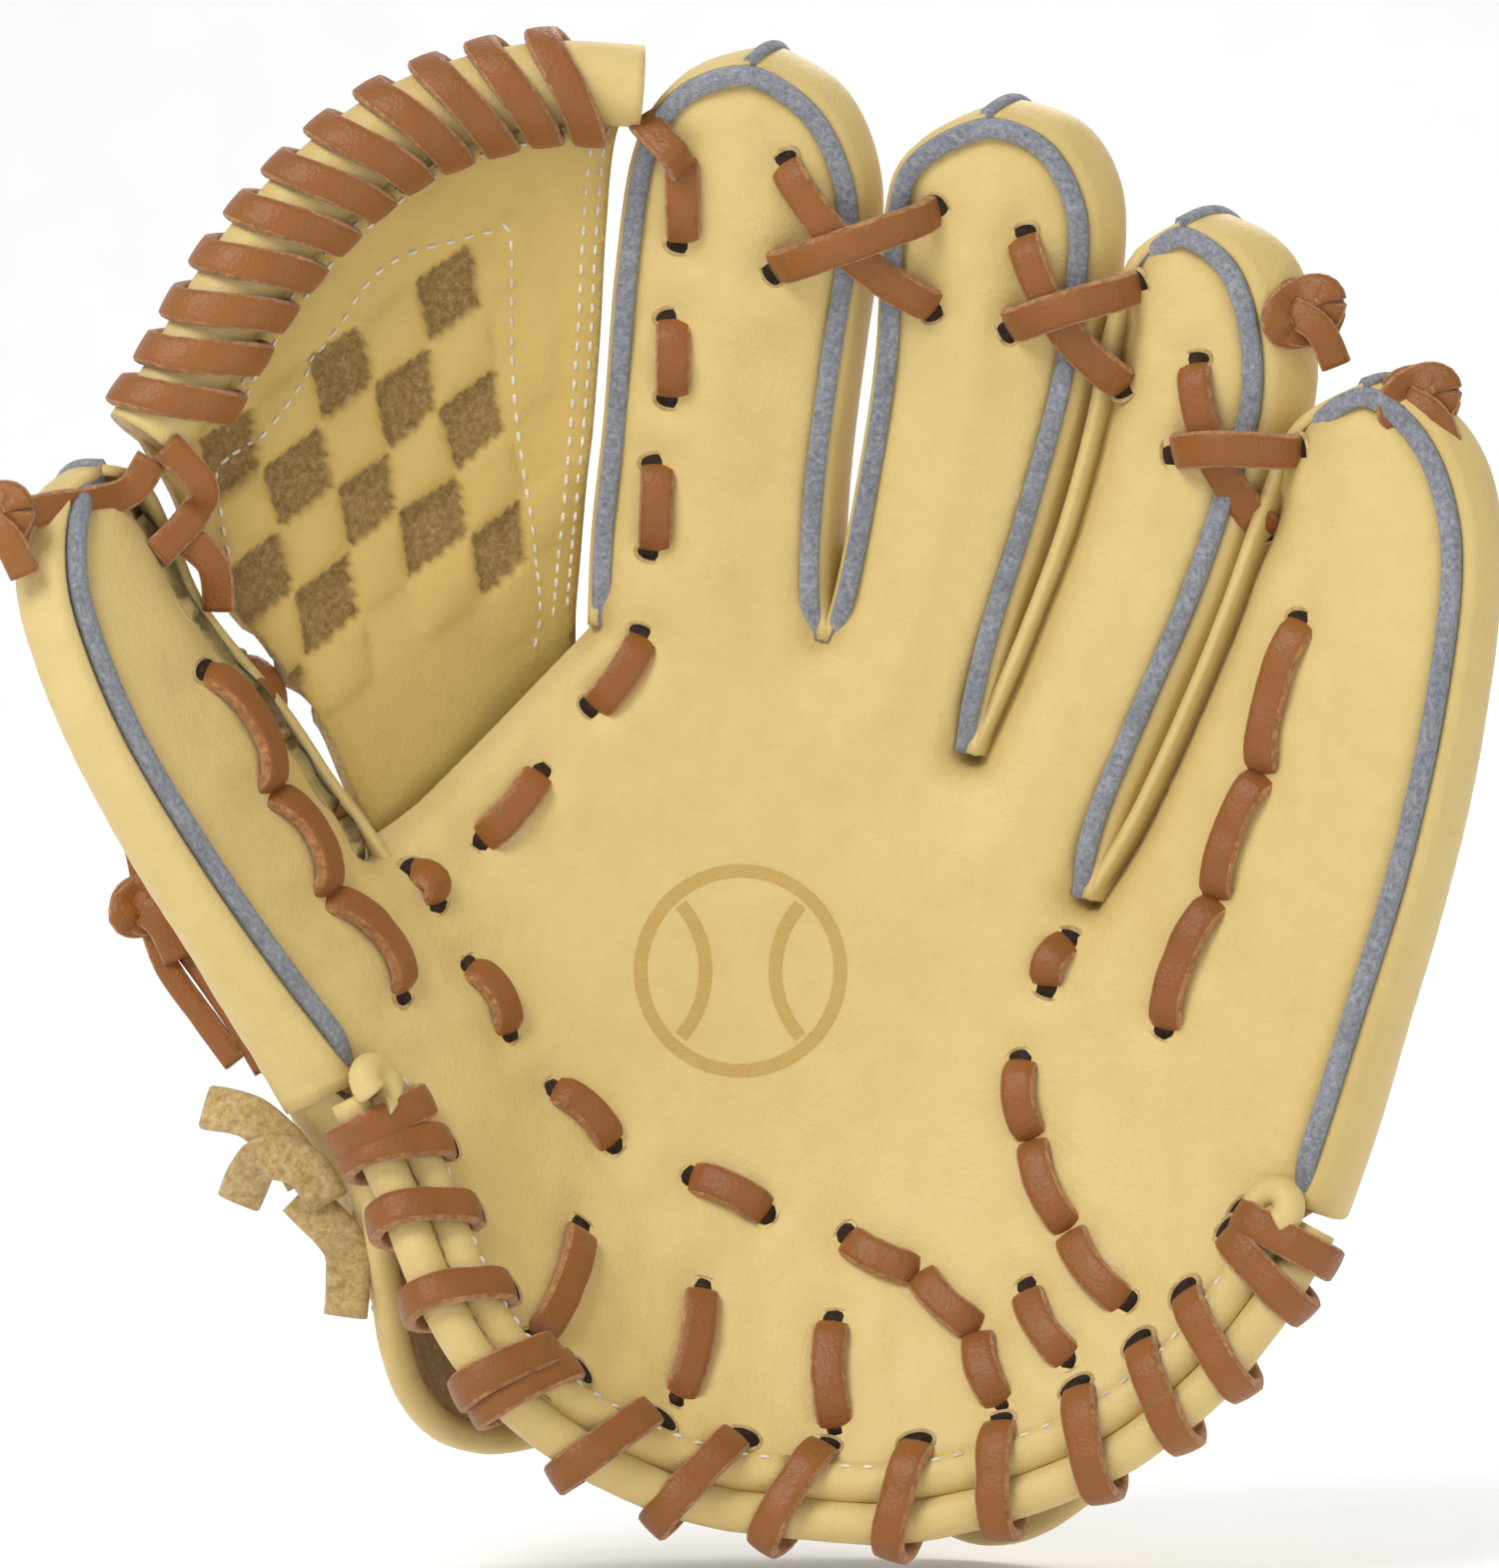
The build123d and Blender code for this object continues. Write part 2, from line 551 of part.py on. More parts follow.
# ---------------------------------------------------------------- the web
web_outline = polygon((WEB_FOOT,) + WEB_TOP + WEB_THUMB_SIDE)
build_layer("web_front_panel", web_outline, 0.0, WEB_PANEL, web_forward)
build_layer("web_back_panel", web_outline, WEB_PANEL + GAP, WEB_PANEL, web_forward)
build_roll("web_rim_roll", RIM_PATH, WEB_PANEL, RIM_RADIUS, web_forward)
build_wraps("web_rim_lace", RIM_PATH, RIM_WRAPS, RIM_RADIUS, 0.0, WEB_PANEL, web_forward)

# ---------------------------------------------------------------- the wrist strap
with BuildSketch(Plane.XZ) as strap_outline:
    with Locations(((STRAP_LEFT + STRAP_RIGHT) / 2, (STRAP_BOTTOM + STRAP_TOP) / 2)):
        SlotOverall(STRAP_RIGHT - STRAP_LEFT, STRAP_TOP - STRAP_BOTTOM)
build_layer("wrist_strap", strap_outline.sketch, 0.0, LEATHER, hand_back)
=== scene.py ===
"""Looks of the fielding glove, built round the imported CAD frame.  Lengths inside are in mm."""
import math

import bpy
import numpy as np
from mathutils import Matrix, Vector, kdtree, noise
from mathutils.geometry import delaunay_2d_cdt


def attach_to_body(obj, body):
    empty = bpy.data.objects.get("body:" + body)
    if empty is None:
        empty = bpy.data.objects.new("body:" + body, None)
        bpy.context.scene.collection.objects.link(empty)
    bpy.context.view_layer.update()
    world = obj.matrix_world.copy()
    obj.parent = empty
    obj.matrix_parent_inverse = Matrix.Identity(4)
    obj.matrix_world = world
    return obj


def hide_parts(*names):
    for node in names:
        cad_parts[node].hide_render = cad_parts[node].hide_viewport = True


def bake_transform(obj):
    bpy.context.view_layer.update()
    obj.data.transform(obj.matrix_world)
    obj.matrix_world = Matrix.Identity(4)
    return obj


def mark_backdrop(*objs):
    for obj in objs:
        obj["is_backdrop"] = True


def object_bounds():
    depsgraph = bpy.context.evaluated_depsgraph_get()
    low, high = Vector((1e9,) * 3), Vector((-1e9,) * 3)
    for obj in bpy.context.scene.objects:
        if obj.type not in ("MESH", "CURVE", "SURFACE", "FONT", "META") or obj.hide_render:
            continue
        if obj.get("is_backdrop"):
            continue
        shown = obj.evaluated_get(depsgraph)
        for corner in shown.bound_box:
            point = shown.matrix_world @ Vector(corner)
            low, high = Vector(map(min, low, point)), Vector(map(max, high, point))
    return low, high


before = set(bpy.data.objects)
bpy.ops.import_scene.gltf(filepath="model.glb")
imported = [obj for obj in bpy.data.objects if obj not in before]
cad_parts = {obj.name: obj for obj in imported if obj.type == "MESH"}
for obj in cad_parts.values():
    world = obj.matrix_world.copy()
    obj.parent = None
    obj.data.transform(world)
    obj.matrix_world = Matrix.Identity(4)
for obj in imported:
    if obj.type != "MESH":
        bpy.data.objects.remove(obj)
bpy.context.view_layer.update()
MM = 0.001
HOME = Vector((-1.54, 10.66, -2.25))  # from the layout point to the origin, as in the CAD

# ------------------------------------------------------------------ the bowl, as in the CAD
TIP_CURL, HEEL_CURL, POCKET_TOP, POCKET_BOTTOM, GLOVE_TOP = 34.0, 26.0, 120.0, 92.0, 254.0


def ramp(run, softness):
    """Zero before 0 and run after it, with a soft bend between."""
    return (run + math.hypot(run, softness)) / 2


def side_ramps(x, z):
    return ramp(1.5 * (-0.5 - 0.42 * z - x), 18.0) + ramp(0.7 * (x - 33.0 - 0.2 * z), 30.0)


def curl(z):
    """The finger tips and the heel curl forward."""
    tips = TIP_CURL * (max(0.0, z - POCKET_TOP) / (GLOVE_TOP - POCKET_TOP)) ** 2
    return tips + HEEL_CURL * (max(0.0, POCKET_BOTTOM - z) / POCKET_BOTTOM) ** 2


FLOOR = side_ramps(-5.0, 105.0)


def forward(x, z):
    """How far the bowl of the palm comes forward."""
    return curl(z) + side_ramps(x, z) - FLOOR


def fold_x(z):
    return -25.0 - 16.4 * (z - 24.0) / 116.0


def web_edge_rise(x, z):
    """Distance above the line of the palm's web edge."""
    return (-(x + 59.5) * 35.0 + (z - 121.3) * 34.2) / math.hypot(34.2, 35.0)


def web_forward(x, z):
    """How far the web comes forward; it tucks in behind the palm's edge."""
    foot = fold_x(z) + 6.0
    tuck = 9.0 * (1 - smooth(-4.0, 22.0, web_edge_rise(x, z)))
    return 0.9 * curl(z) + ramp(0.58 * (foot - x), 14.0) - 7.0 - tuck


def hand_back(x, z):
    """How far the back of the hand comes forward."""
    return 0.45 * forward(x, z) + 11.0 * (max(0.0, z - 100.0) / 50.0) ** 2 - 35.3


def smooth(a, b, x):
    t = min(1.0, max(0.0, (x - a) / (b - a)))
    return t * t * (3 - 2 * t)


def mix(a, b, t):
    return a + (b - a) * t


def back_normal(x, z, surface=forward):
    h = 0.1
    dx = (surface(x + h, z) - surface(x - h, z)) / (2 * h)
    dz = (surface(x, z + h) - surface(x, z - h)) / (2 * h)
    return Vector((dx, 1, dz)).normalized()


def at(x, z, depth=0.0, surface=forward):
    """A point behind a surface by depth, over the place (x, z) of the front view."""
    return Vector((x, -surface(x, z), z)) + back_normal(x, z, surface) * depth


# ------------------------------------------------------------------ curves
def through(points, step=1.5):
    """A smooth curve through the points, sampled evenly."""
    pts = [Vector(p) for p in points]
    dense = []
    for i in range(len(pts) - 1):
        p0, p1, p2, p3 = pts[max(i - 1, 0)], pts[i], pts[i + 1], pts[min(i + 2, len(pts) - 1)]
        for k in range(16):
            t = k / 16
            dense.append(0.5 * ((2 * p1) + (p2 - p0) * t + (2 * p0 - 5 * p1 + 4 * p2 - p3) * t * t
                                + (3 * p1 - p0 - 3 * p2 + p3) * t ** 3))
    dense.append(pts[-1])
    return resample(dense, step)


def resample(pts, step):
    run = [0.0]
    for a, b in zip(pts, pts[1:]):
        run.append(run[-1] + (b - a).length)
    count = max(2, round(run[-1] / step) + 1)
    out, j = [], 0
    for i in range(count):
        s = run[-1] * i / (count - 1)
        while j < len(run) - 2 and run[j + 1] < s:
            j += 1
        t = (s - run[j]) / max(1e-9, run[j + 1] - run[j])
        out.append(pts[j].lerp(pts[j + 1], min(1, t)))
    return out


# ------------------------------------------------------------------ outlines in the front view
INDEX_L = [(-25.3, 156.3), (-24.6, 172), (-22.5, 190.5), (-20.4, 215), (-17.1, 234.6), (-10.4, 244.5),
           (1.6, 247.9)]
INDEX_R = [(1.6, 247.9), (12.2, 241.6), (17.9, 231.3), (19.2, 219.9), (16.6, 202), (13.9, 182.4),
           (12.7, 164.5), (13.5, 153.9)]
MIDDLE_L = [(13.5, 153.9), (16.3, 161), (20.6, 182.4), (23.4, 202), (24.6, 223.1), (28.5, 233.6),
            (40.8, 239.4)]
MIDDLE_R = [(40.8, 239.4), (51.3, 235.4), (57, 224.8), (57, 211.7), (54.6, 195.4), (48.9, 174.2),
            (42.4, 153.1), (38.3, 134.8)]
RING_L = [(38.3, 134.8), (45.6, 151.4), (53, 171), (57.9, 188.9), (61.1, 205.2), (65.2, 216.6),
          (72.5, 221.7)]
RING_R = [(72.5, 221.7), (80.7, 216.6), (84.8, 206.8), (85.6, 193.8), (82.3, 180.8), (75.8, 161.2),
          (67.6, 141.6), (60.3, 123.7), (57, 110.7)]
PINKY_L = [(57, 110.7), (65.2, 125.3), (73.4, 143.3), (79.9, 159.6), (85.6, 175.9), (91.3, 188.9),
           (101.9, 195.1)]
PINKY_R = [(101.9, 195.1), (110.8, 188.9), (116.1, 177.5), (117.4, 162.8), (114.1, 138.4), (108.4, 113.9),
           (101.9, 92.7), (96.2, 74.8), (91.3, 60.5)]
HEEL = [(91.3, 60.5), (83.1, 46.3), (71.7, 32.4), (57, 21.8), (40.8, 15.3), (24.5, 12.1), (8.2, 12.9),
        (-8.2, 16.1), (-24.5, 24.3),
        (-37.5, 35.7), (-45.6, 48.7), (-52.2, 65), (-60.5, 82)]
THUMB_L = [(-60.5, 82), (-73.4, 99.3), (-86.4, 118.8), (-97.8, 138.4), (-105.1, 156.3), (-107.3, 167.7),
           (-106.4, 177.5), (-102.2, 182.7)]
THUMB_R = [(-102.2, 182.7), (-96.2, 180.8), (-91.3, 171), (-86.1, 159.6), (-73.4, 143.3), (-66, 131.9),
           (-58.7, 121.5)]
PALM_WEB = [(-58.7, 121.5), (-47, 134.0), (-36, 145.5), (-25.3, 156.3)]
SPLIT = [(13.5, 153.9), (9.0, 110.0), (8.2, 12.9)]

# ------------------------------------------------------------------ materials
def material(name):
    m = bpy.data.materials.new(name)
    m.use_nodes = True
    nt = m.node_tree
    return m, nt, nt.nodes["Principled BSDF"]


def node(nt, kind, links=None, **values):
    n = nt.nodes.new(kind)
    for key, value in values.items():
        if hasattr(n, key) and key not in n.inputs:
            setattr(n, key, value)
        else:
            n.inputs[key].default_value = value
    for key, socket in (links or {}).items():
        nt.links.new(socket, n.inputs[key])
    return n


def coords(nt):
    return node(nt, "ShaderNodeTexCoord").outputs["Object"]


def ramp_node(nt, fac, stops):
    r = node(nt, "ShaderNodeValToRGB", {"Fac": fac})
    while len(r.color_ramp.elements) < len(stops):
        r.color_ramp.elements.new(0.5)
    for e, (pos, col) in zip(r.color_ramp.elements, stops):
        e.position = pos
        e.color = (*col, 1) if len(col) == 3 else col
    return r.outputs["Color"]


def linear(r, g, b):
    def f(c):
        c /= 255
        return c / 12.92 if c <= 0.04045 else ((c + 0.055) / 1.055) ** 2.4
    return f(r), f(g), f(b)


def blend_color(nt, fac, a, b, mode="MIX"):
    n = nt.nodes.new("ShaderNodeMix")
    n.data_type = "RGBA"
    n.blend_type = mode
    for sock, v in ((n.inputs[0], fac), (n.inputs[6], a), (n.inputs[7], b)):
        if hasattr(v, "is_linked") or hasattr(v, "links"):
            nt.links.new(v, sock)
        else:
            sock.default_value = v if isinstance(v, float) else (*v, 1)
    return n.outputs[2]


def leather(name, light, mid, dark, grain=1.0, suede_attribute=False, rough=0.46):
    """Smooth grained leather: blotchy dye, fine pebble and pores, soft creases, painted shade and dirt
    along edges.
    """
    m, nt, b = material(name)
    co = coords(nt)
    big = node(nt, "ShaderNodeTexNoise", {"Vector": co}, Scale=16.0, Detail=5.0, Roughness=0.6)
    color = ramp_node(nt, big.outputs["Fac"],
                      [(0.25, tuple(mix(a, b, 0.4) for a, b in zip(mid, dark))), (0.5, mid),
                       (0.78, tuple(mix(a, b, 0.45) for a, b in zip(mid, light)))])
    mottle = node(nt, "ShaderNodeTexNoise", {"Vector": co}, Scale=170.0, Detail=6.0, Roughness=0.65)
    speck = ramp_node(nt, mottle.outputs["Fac"], [(0.3, (0.945, 0.93, 0.90)), (0.62, (1.01, 1.01, 1.0))])
    color = blend_color(nt, 0.75, color, speck, "MULTIPLY")
    edge = node(nt, "ShaderNodeAttribute", attribute_name="edge").outputs["Fac"]
    # the edge attribute blends towards a darker dye: painted shade and dirt along seams and edges
    color = blend_color(nt, edge, color, tuple(c * 0.72 for c in dark))
    pores = node(nt, "ShaderNodeTexVoronoi", {"Vector": co}, Scale=1500.0)
    pebble = node(nt, "ShaderNodeTexNoise", {"Vector": co}, Scale=1100.0, Detail=3.0)
    crease = node(nt, "ShaderNodeTexNoise", {"Vector": co}, Scale=60.0, Detail=8.0, Roughness=0.7,
                  Distortion=1.2)
    b1 = node(nt, "ShaderNodeBump", {"Height": crease.outputs["Fac"]}, Strength=0.35, Distance=0.0012)
    b2 = node(nt, "ShaderNodeBump", {"Height": pores.outputs["Distance"], "Normal": b1.outputs[0]},
              Strength=0.18 * grain, Distance=0.0003)
    b3 = node(nt, "ShaderNodeBump", {"Height": pebble.outputs["Fac"], "Normal": b2.outputs[0]},
              Strength=0.30 * grain, Distance=0.0003)
    rr = node(nt, "ShaderNodeMapRange", {"Value": mottle.outputs["Fac"]})
    rr.inputs["To Min"].default_value, rr.inputs["To Max"].default_value = rough - 0.07, rough + 0.12
    nt.links.new(color, b.inputs["Base Color"])
    nt.links.new(rr.outputs[0], b.inputs["Roughness"])
    nt.links.new(b3.outputs[0], b.inputs["Normal"])
    b.inputs["Specular IOR Level"].default_value = 0.42
    b.inputs["Sheen Weight"].default_value = 0.08
    if suede_attribute:
        mask = node(nt, "ShaderNodeAttribute", attribute_name="suede").outputs["Fac"]
        nap = node(nt, "ShaderNodeTexNoise", {"Vector": co}, Scale=900.0, Detail=8.0, Roughness=0.8)
        nap_color = ramp_node(nt, nap.outputs["Fac"],
                              [(0.3, linear(128, 92, 38)), (0.5, linear(186, 148, 82)),
                               (0.7, linear(222, 192, 130))])
        nt.links.new(blend_color(nt, mask, color, nap_color), b.inputs["Base Color"])
        b4 = node(nt, "ShaderNodeBump",
                  {"Height": nap.outputs["Fac"], "Normal": b3.outputs[0], "Strength": mask},
                  Distance=0.0012)
        nt.links.new(b4.outputs[0], b.inputs["Normal"])
        rough_mix = node(nt, "ShaderNodeMix", {})
        nt.links.new(mask, rough_mix.inputs[0])
        nt.links.new(rr.outputs[0], rough_mix.inputs[2])
        rough_mix.inputs[3].default_value = 0.95
        nt.links.new(rough_mix.outputs[0], b.inputs["Roughness"])
    return m


def fuzzy(name, low, mid, high, scale=700.0, strength=0.7, distance=0.0008):
    """Suede, felt or raw lace edge: a noisy nap with no shine."""
    m, nt, b = material(name)
    co = coords(nt)
    nap = node(nt, "ShaderNodeTexNoise", {"Vector": co}, Scale=scale, Detail=8.0, Roughness=0.75)
    patch = node(nt, "ShaderNodeTexNoise", {"Vector": co}, Scale=90.0, Detail=3.0)
    color = ramp_node(nt, nap.outputs["Fac"], [(0.32, low), (0.5, mid), (0.68, high)])
    shade = ramp_node(nt, patch.outputs["Fac"], [(0.35, (0.85, 0.85, 0.85)), (0.65, (1.08, 1.08, 1.08))])
    nt.links.new(blend_color(nt, 1.0, color, shade, "MULTIPLY"), b.inputs["Base Color"])
    bump = node(nt, "ShaderNodeBump", {"Height": nap.outputs["Fac"]}, Strength=strength, Distance=distance)
    nt.links.new(bump.outputs[0], b.inputs["Normal"])
    b.inputs["Roughness"].default_value = 0.93
    b.inputs["Sheen Weight"].default_value = 0.35
    b.inputs["Sheen Roughness"].default_value = 0.5
    return m


def speckled(name, low, high, scale, rough):
    """A plain material with a faint noise in its colour."""
    m, nt, b = material(name)
    grain = node(nt, "ShaderNodeTexNoise", {"Vector": coords(nt)}, Scale=scale)
    nt.links.new(ramp_node(nt, grain.outputs["Fac"], [(0.3, low), (0.7, high)]), b.inputs["Base Color"])
    b.inputs["Roughness"].default_value = rough
    return m


BLONDE = leather("blonde_leather", linear(226, 204, 142), linear(218, 192, 124), linear(206, 174, 100))
STAMP = leather("stamped_leather", linear(204, 172, 96), linear(196, 163, 86), linear(186, 152, 74),
                grain=1.8)
# the web's leather is the blonde leather darkened: painted shade over the web
WEB_LEATHER_SHADED = leather("web_leather_shaded", linear(220, 194, 122), linear(208, 177, 98), linear(194, 158, 78),
                      suede_attribute=True)
LACE = leather("lace_leather", linear(166, 107, 46), linear(143, 86, 32), linear(110, 62, 20), grain=1.6,
               rough=0.42)
LACE_EDGE = fuzzy("lace_suede_edge", linear(120, 70, 28), linear(176, 116, 56), linear(214, 160, 92))
LEATHER_EDGE = fuzzy("cut_leather_edge", linear(160, 124, 66), linear(200, 168, 106), linear(226, 202, 148))
WELTING = fuzzy("grey_welting", linear(104, 107, 116), linear(146, 149, 159), linear(184, 187, 195),
                scale=1100.0, strength=0.8)
THREAD = fuzzy("cream_thread", linear(196, 186, 160), linear(232, 226, 208), linear(250, 248, 240),
               scale=2200.0, strength=0.4, distance=0.0003)
LINING = fuzzy("soft_lining", linear(150, 112, 60), linear(186, 146, 88), linear(210, 176, 118),
               scale=420.0, strength=0.4)
FELT = fuzzy("padding_felt", linear(196, 188, 168), linear(222, 214, 196), linear(240, 236, 222))
PLASTIC = speckled("stiffener_plastic", linear(200, 200, 196), linear(222, 222, 218), 300.0, 0.5)
# the dark hole floor is painted shade where the punched holes go in
HOLE_SHADE = speckled("punched_hole_shade", linear(30, 18, 8), linear(66, 42, 20), 900.0, 0.9)


# ------------------------------------------------------------------ mesh helpers
def make(name, verts, faces, mats, mat_index=None, attributes=None, normals=None):
    """A mesh piece from points in millimetres."""
    mesh = bpy.data.meshes.new(name)
    mesh.from_pydata([tuple((v + HOME) * MM) for v in verts], [], faces)
    for m in mats if isinstance(mats, (list, tuple)) else [mats]:
        mesh.materials.append(m)
    if mat_index is not None:
        mesh.polygons.foreach_set("material_index", mat_index)
    mesh.polygons.foreach_set("use_smooth", [True] * len(mesh.polygons))
    for key, data in (attributes or {}).items():
        mesh.attributes.new(key, "FLOAT", "POINT").data.foreach_set("value", data)
    mesh.update()
    if normals is not None:
        mesh.normals_split_custom_set_from_vertices([tuple(n) for n in normals])
    obj = bpy.data.objects.new(name, mesh)
    bpy.context.scene.collection.objects.link(obj)
    return obj


class Build:
    """Collects swept strips and sheets into one mesh."""

    def __init__(self):
        self.verts, self.faces, self.mat = [], [], []

    def grid(self, rows, closed=False, mat=0, caps=False, cap_mat=None, mats=None):
        """Skins rows of points; closed rows are rings."""
        base, n = len(self.verts), len(rows[0])
        for row in rows:
            self.verts += row
        for i in range(len(rows) - 1):
            for j in range(n if closed else n - 1):
                k = (j + 1) % n
                a, b = base + i * n + j, base + i * n + k
                self.faces.append((a, b, b + n, a + n))
                self.mat.append(mats[j] if mats else mat)
        if caps:
            for row, flip in ((0, True), (len(rows) - 1, False)):
                ring = [base + row * n + j for j in range(n)]
                self.faces.append(tuple(ring[::-1] if flip else ring))
                self.mat.append(mat if cap_mat is None else cap_mat)

    def sweep(self, path, profile, ups, mat=0, cap_mat=None, mats=None, scale=None):
        """Sweeps a closed profile of (across, up) points along a path whose up vectors are given."""
        rows = []
        for i, p in enumerate(path):
            t = heading(path, i)
            up = (ups[i] - t * ups[i].dot(t)).normalized()
            side = t.cross(up)
            k = scale[i] if scale else 1.0
            rows.append([p + side * (u * k) + up * v for u, v in profile])
        self.grid(rows, closed=True, mat=mat, caps=True, cap_mat=cap_mat, mats=mats)

    def object(self, name, mats):
        return make(name, self.verts, self.faces, mats, self.mat)


def heading(path, i):
    """Unit direction of a run of points at its i-th point."""
    return (path[min(i + 1, len(path) - 1)] - path[max(i - 1, 0)]).normalized()


def round_profile(r, n=20, flat=1.0):
    return [(r * math.cos(2 * math.pi * i / n), flat * r * math.sin(2 * math.pi * i / n)) for i in range(n)]


def strap_profile(width, thick, dome=0.3):
    """A flat lace: domed smooth top, square suede edges."""
    w, t = width / 2, thick / 2
    top = [(w * k, t + dome * (1 - k * k)) for k in (0.86, 0.5, 0.0, -0.5, -0.86)]
    return top + [(-w, t * 0.45), (-w, -t * 0.45), (-w * 0.9, -t), (0, -t), (w * 0.9, -t), (w, -t * 0.45),
                  (w, t * 0.45)]


STRAP_MATS = [0, 0, 0, 0, 1, 1, 1, 1, 1, 1, 1, 1]


def lace(build, path, ups, width=5.8, thick=2.0, seed=0.0):
    """One run of lace with a slightly uneven width."""
    scale = [1 + 0.06 * noise.noise(Vector((i * 0.22, seed, 3.1))) for i in range(len(path))]
    build.sweep(path, strap_profile(width, thick), ups, mats=STRAP_MATS, cap_mat=1, scale=scale)


def stitches(name, runs, ups, spacing=2.6, length=1.9, r=0.32, lift=0.12):
    """Thread stitches along runs of points."""
    b = Build()
    for pts, normals in zip(runs, ups):
        run = 0.0
        for i in range(len(pts) - 1):
            run += (pts[i + 1] - pts[i]).length
            if run >= spacing:
                run = 0.0
                t = (pts[i + 1] - pts[i]).normalized()
                n = normals[i]
                side = t.cross(n).normalized()
                c = pts[i] + n * lift
                rows = []
                for k, s in ((-1.0, 0.25), (-0.7, 0.85), (0.0, 1.0), (0.7, 0.85), (1.0, 0.25)):
                    drop = -0.25 * abs(k) ** 3
                    centre = c + t * (k * length / 2) + n * drop
                    rows.append([centre + (side * math.cos(a) + n * math.sin(a)) * r * s
                                 for a in (0, 1.05, 2.09, 3.14, 4.19, 5.24)])
                b.grid(rows, closed=True, caps=True)
    return b.object(name, [THREAD])


def fold_blend(obj, child):
    """Bakes the piece's placement into its mesh; the fold line is worked out but the leather is not bent
    over it.
    """
    centre, across = (Vector((-33.5, -15, 84)),
                      Vector((-0.99, 0, -0.14))) if child == "thumb" else (Vector((57.0, -15, 66)),
                                                                           Vector((1, 0, -0.02)))
    centre = centre + HOME
    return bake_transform(obj)


def attach(obj, body, *nodes):
    """body is a body's name, or palm/CHILD for a piece over that child's fold, which is baked in place and
    not bent or attached to a body.
    """
    if nodes:
        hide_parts(*nodes)
    if "/" in body:
        return fold_blend(obj, body.split("/")[1])
    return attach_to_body(obj, body)


# ------------------------------------------------------------------ the catching face
def leather_relief(x, z, trees):
    """Depth of the palm leather below the bowl: it rolls back at its edges and crowns the fingers."""
    def dist(key):
        return trees[key].find((x, z, 0))[2]
    d = dist("welt")
    depth = 3.6 * (1 - min(d / 7, 1)) ** 2.2 + 2.6 * (1 - smooth(3, 19, d))
    depth += 9.0 * (1 - min(dist("thumb_side") / 9, 1)) ** 2
    depth += 7.0 * (1 - min(dist("rolled") / 8, 1)) ** 2
    pull = dist("holes")
    depth += 0.9 * math.exp(-(pull / 3.6) ** 2) - 0.35 * math.exp(-((pull - 8.0) / 4.0) ** 2)
    depth += 2.2 * (1 - min(dist("web") / 5, 1)) ** 2
    depth += 2.4 * (1 - min(dist("heel") / 6, 1)) ** 2
    v = Vector((x, 0, z))
    depth += 0.9 * noise.noise(v * 0.022) + 0.35 * noise.noise(v * 0.07)
    wrinkle = noise.fractal(Vector((x * 0.10, 1.7, z * 0.045)), 0.8, 2.1, 4)
    depth += 0.5 * wrinkle * (1 - smooth(35, 95, z))
    return depth, min(d, dist("heel"), dist("web"))


def tree(points):
    t = kdtree.KDTree(len(points))
    for i, p in enumerate(points):
        t.insert((p[0], p[1], 0), i)
    t.balance()
    return t


welt_lines = {"index": (INDEX_L, INDEX_R), "middle": (MIDDLE_L, MIDDLE_R), "ring": (RING_L, RING_R),
              "pinky": (PINKY_L, PINKY_R)}
welt_samples = [p for pair in welt_lines.values() for side in pair
                for p in through(side, 1.0)] + through(THUMB_L, 1.0)
STITCH_CHAINS = {
    "index_edge": [((-9.8, 234.5), (-9.6, 219.9)), ((-11.4, 207.6), (-11.4, 194.6)),
                   ((-14.0, 183.6), (-14.6, 169.0))],
    "palm_left": [((-16.4, 154.6), (-24.9, 142.4)), ((-34.0, 131.8), (-43.8, 120.3)),
                  ((-54.6, 116.0), (-50.5, 109.8)),
                  ((-45.3, 99.3), (-38.8, 87.6)), ((-31.4, 78.4), (-21.4, 68.7)),
                  ((-8.5, 63.3), (4.6, 57.2)),
                  ((-26.5, 55.5), (-33.5, 37.5)), ((-6.3, 45.0), (-10.0, 27.0))],
    "palm_right": [((17.6, 53.2), (30.0, 47.6), (40.0, 38.2), (43.5, 26.0)),
                   ((47.6, 83.3), (49.0, 70.0), (55.0, 55.0), (64.0, 43.0)),
                   ((15.8, 39.4), (16.0, 22.0)), ((47.9, 45.2), (55.0, 33.5)),
                   ((54.8, 103.6), (51.6, 95.4))],
    "thumb_chain": [((-87.8, 149.0), (-77.0, 128.8), (-67.4, 111.7), (-54.9, 95.3)),
                    ((-79.0, 152.0), (-72.5, 138.5)), ((-67.0, 132.0), (-60.5, 120.0))],
    "pinky_chain": [((93.7, 157.0), (87.2, 131.5), (79.5, 110.4), (71.2, 88.5))],
}
CROSSES = {
    "index_middle": (((7.0, 233.0), (32.8, 209.2), 2.0), ((5.2, 216.0), (33.2, 225.0), -1.5)),
    "middle_ring": (((46.8, 221.0), (64.0, 195.6), 2.0), ((44.6, 206.2), (66.0, 212.0), -1.5)),
    "ring_pinky": (((75.2, 200.0), (85.4, 171.0), 2.0), ((71.9, 185.2), (91.8, 184.6), -1.5)),
}
hole_places = [p for chains in STITCH_CHAINS.values() for chain in chains for p in chain]
hole_places += [p for pair in CROSSES.values() for strand in pair for p in strand[:2]]
TREES = {"holes": tree(hole_places), "rolled": tree(through(RING_L[:5], 1.0) + through(PINKY_L[:5], 1.0)),
         "welt": tree(welt_samples), "thumb_side": tree(through(THUMB_R, 1.0)),
         "web": tree(through(PALM_WEB, 1.0)), "heel": tree(through(HEEL, 1.0))}


def face_point(x, z, lift=0.0):
    """A point on the modelled leather face, lifted towards the catcher's side."""
    return at(x, z, leather_relief(x, z, TREES)[0] - lift)


def used_points(faces):
    return sorted({i for face in faces for i in face})


def compact(points, faces):
    """The faces and only the points that they use."""
    used = used_points(faces)
    index = {old: new for new, old in enumerate(used)}
    return [points[i] for i in used], [tuple(index[i] for i in face) for face in faces]


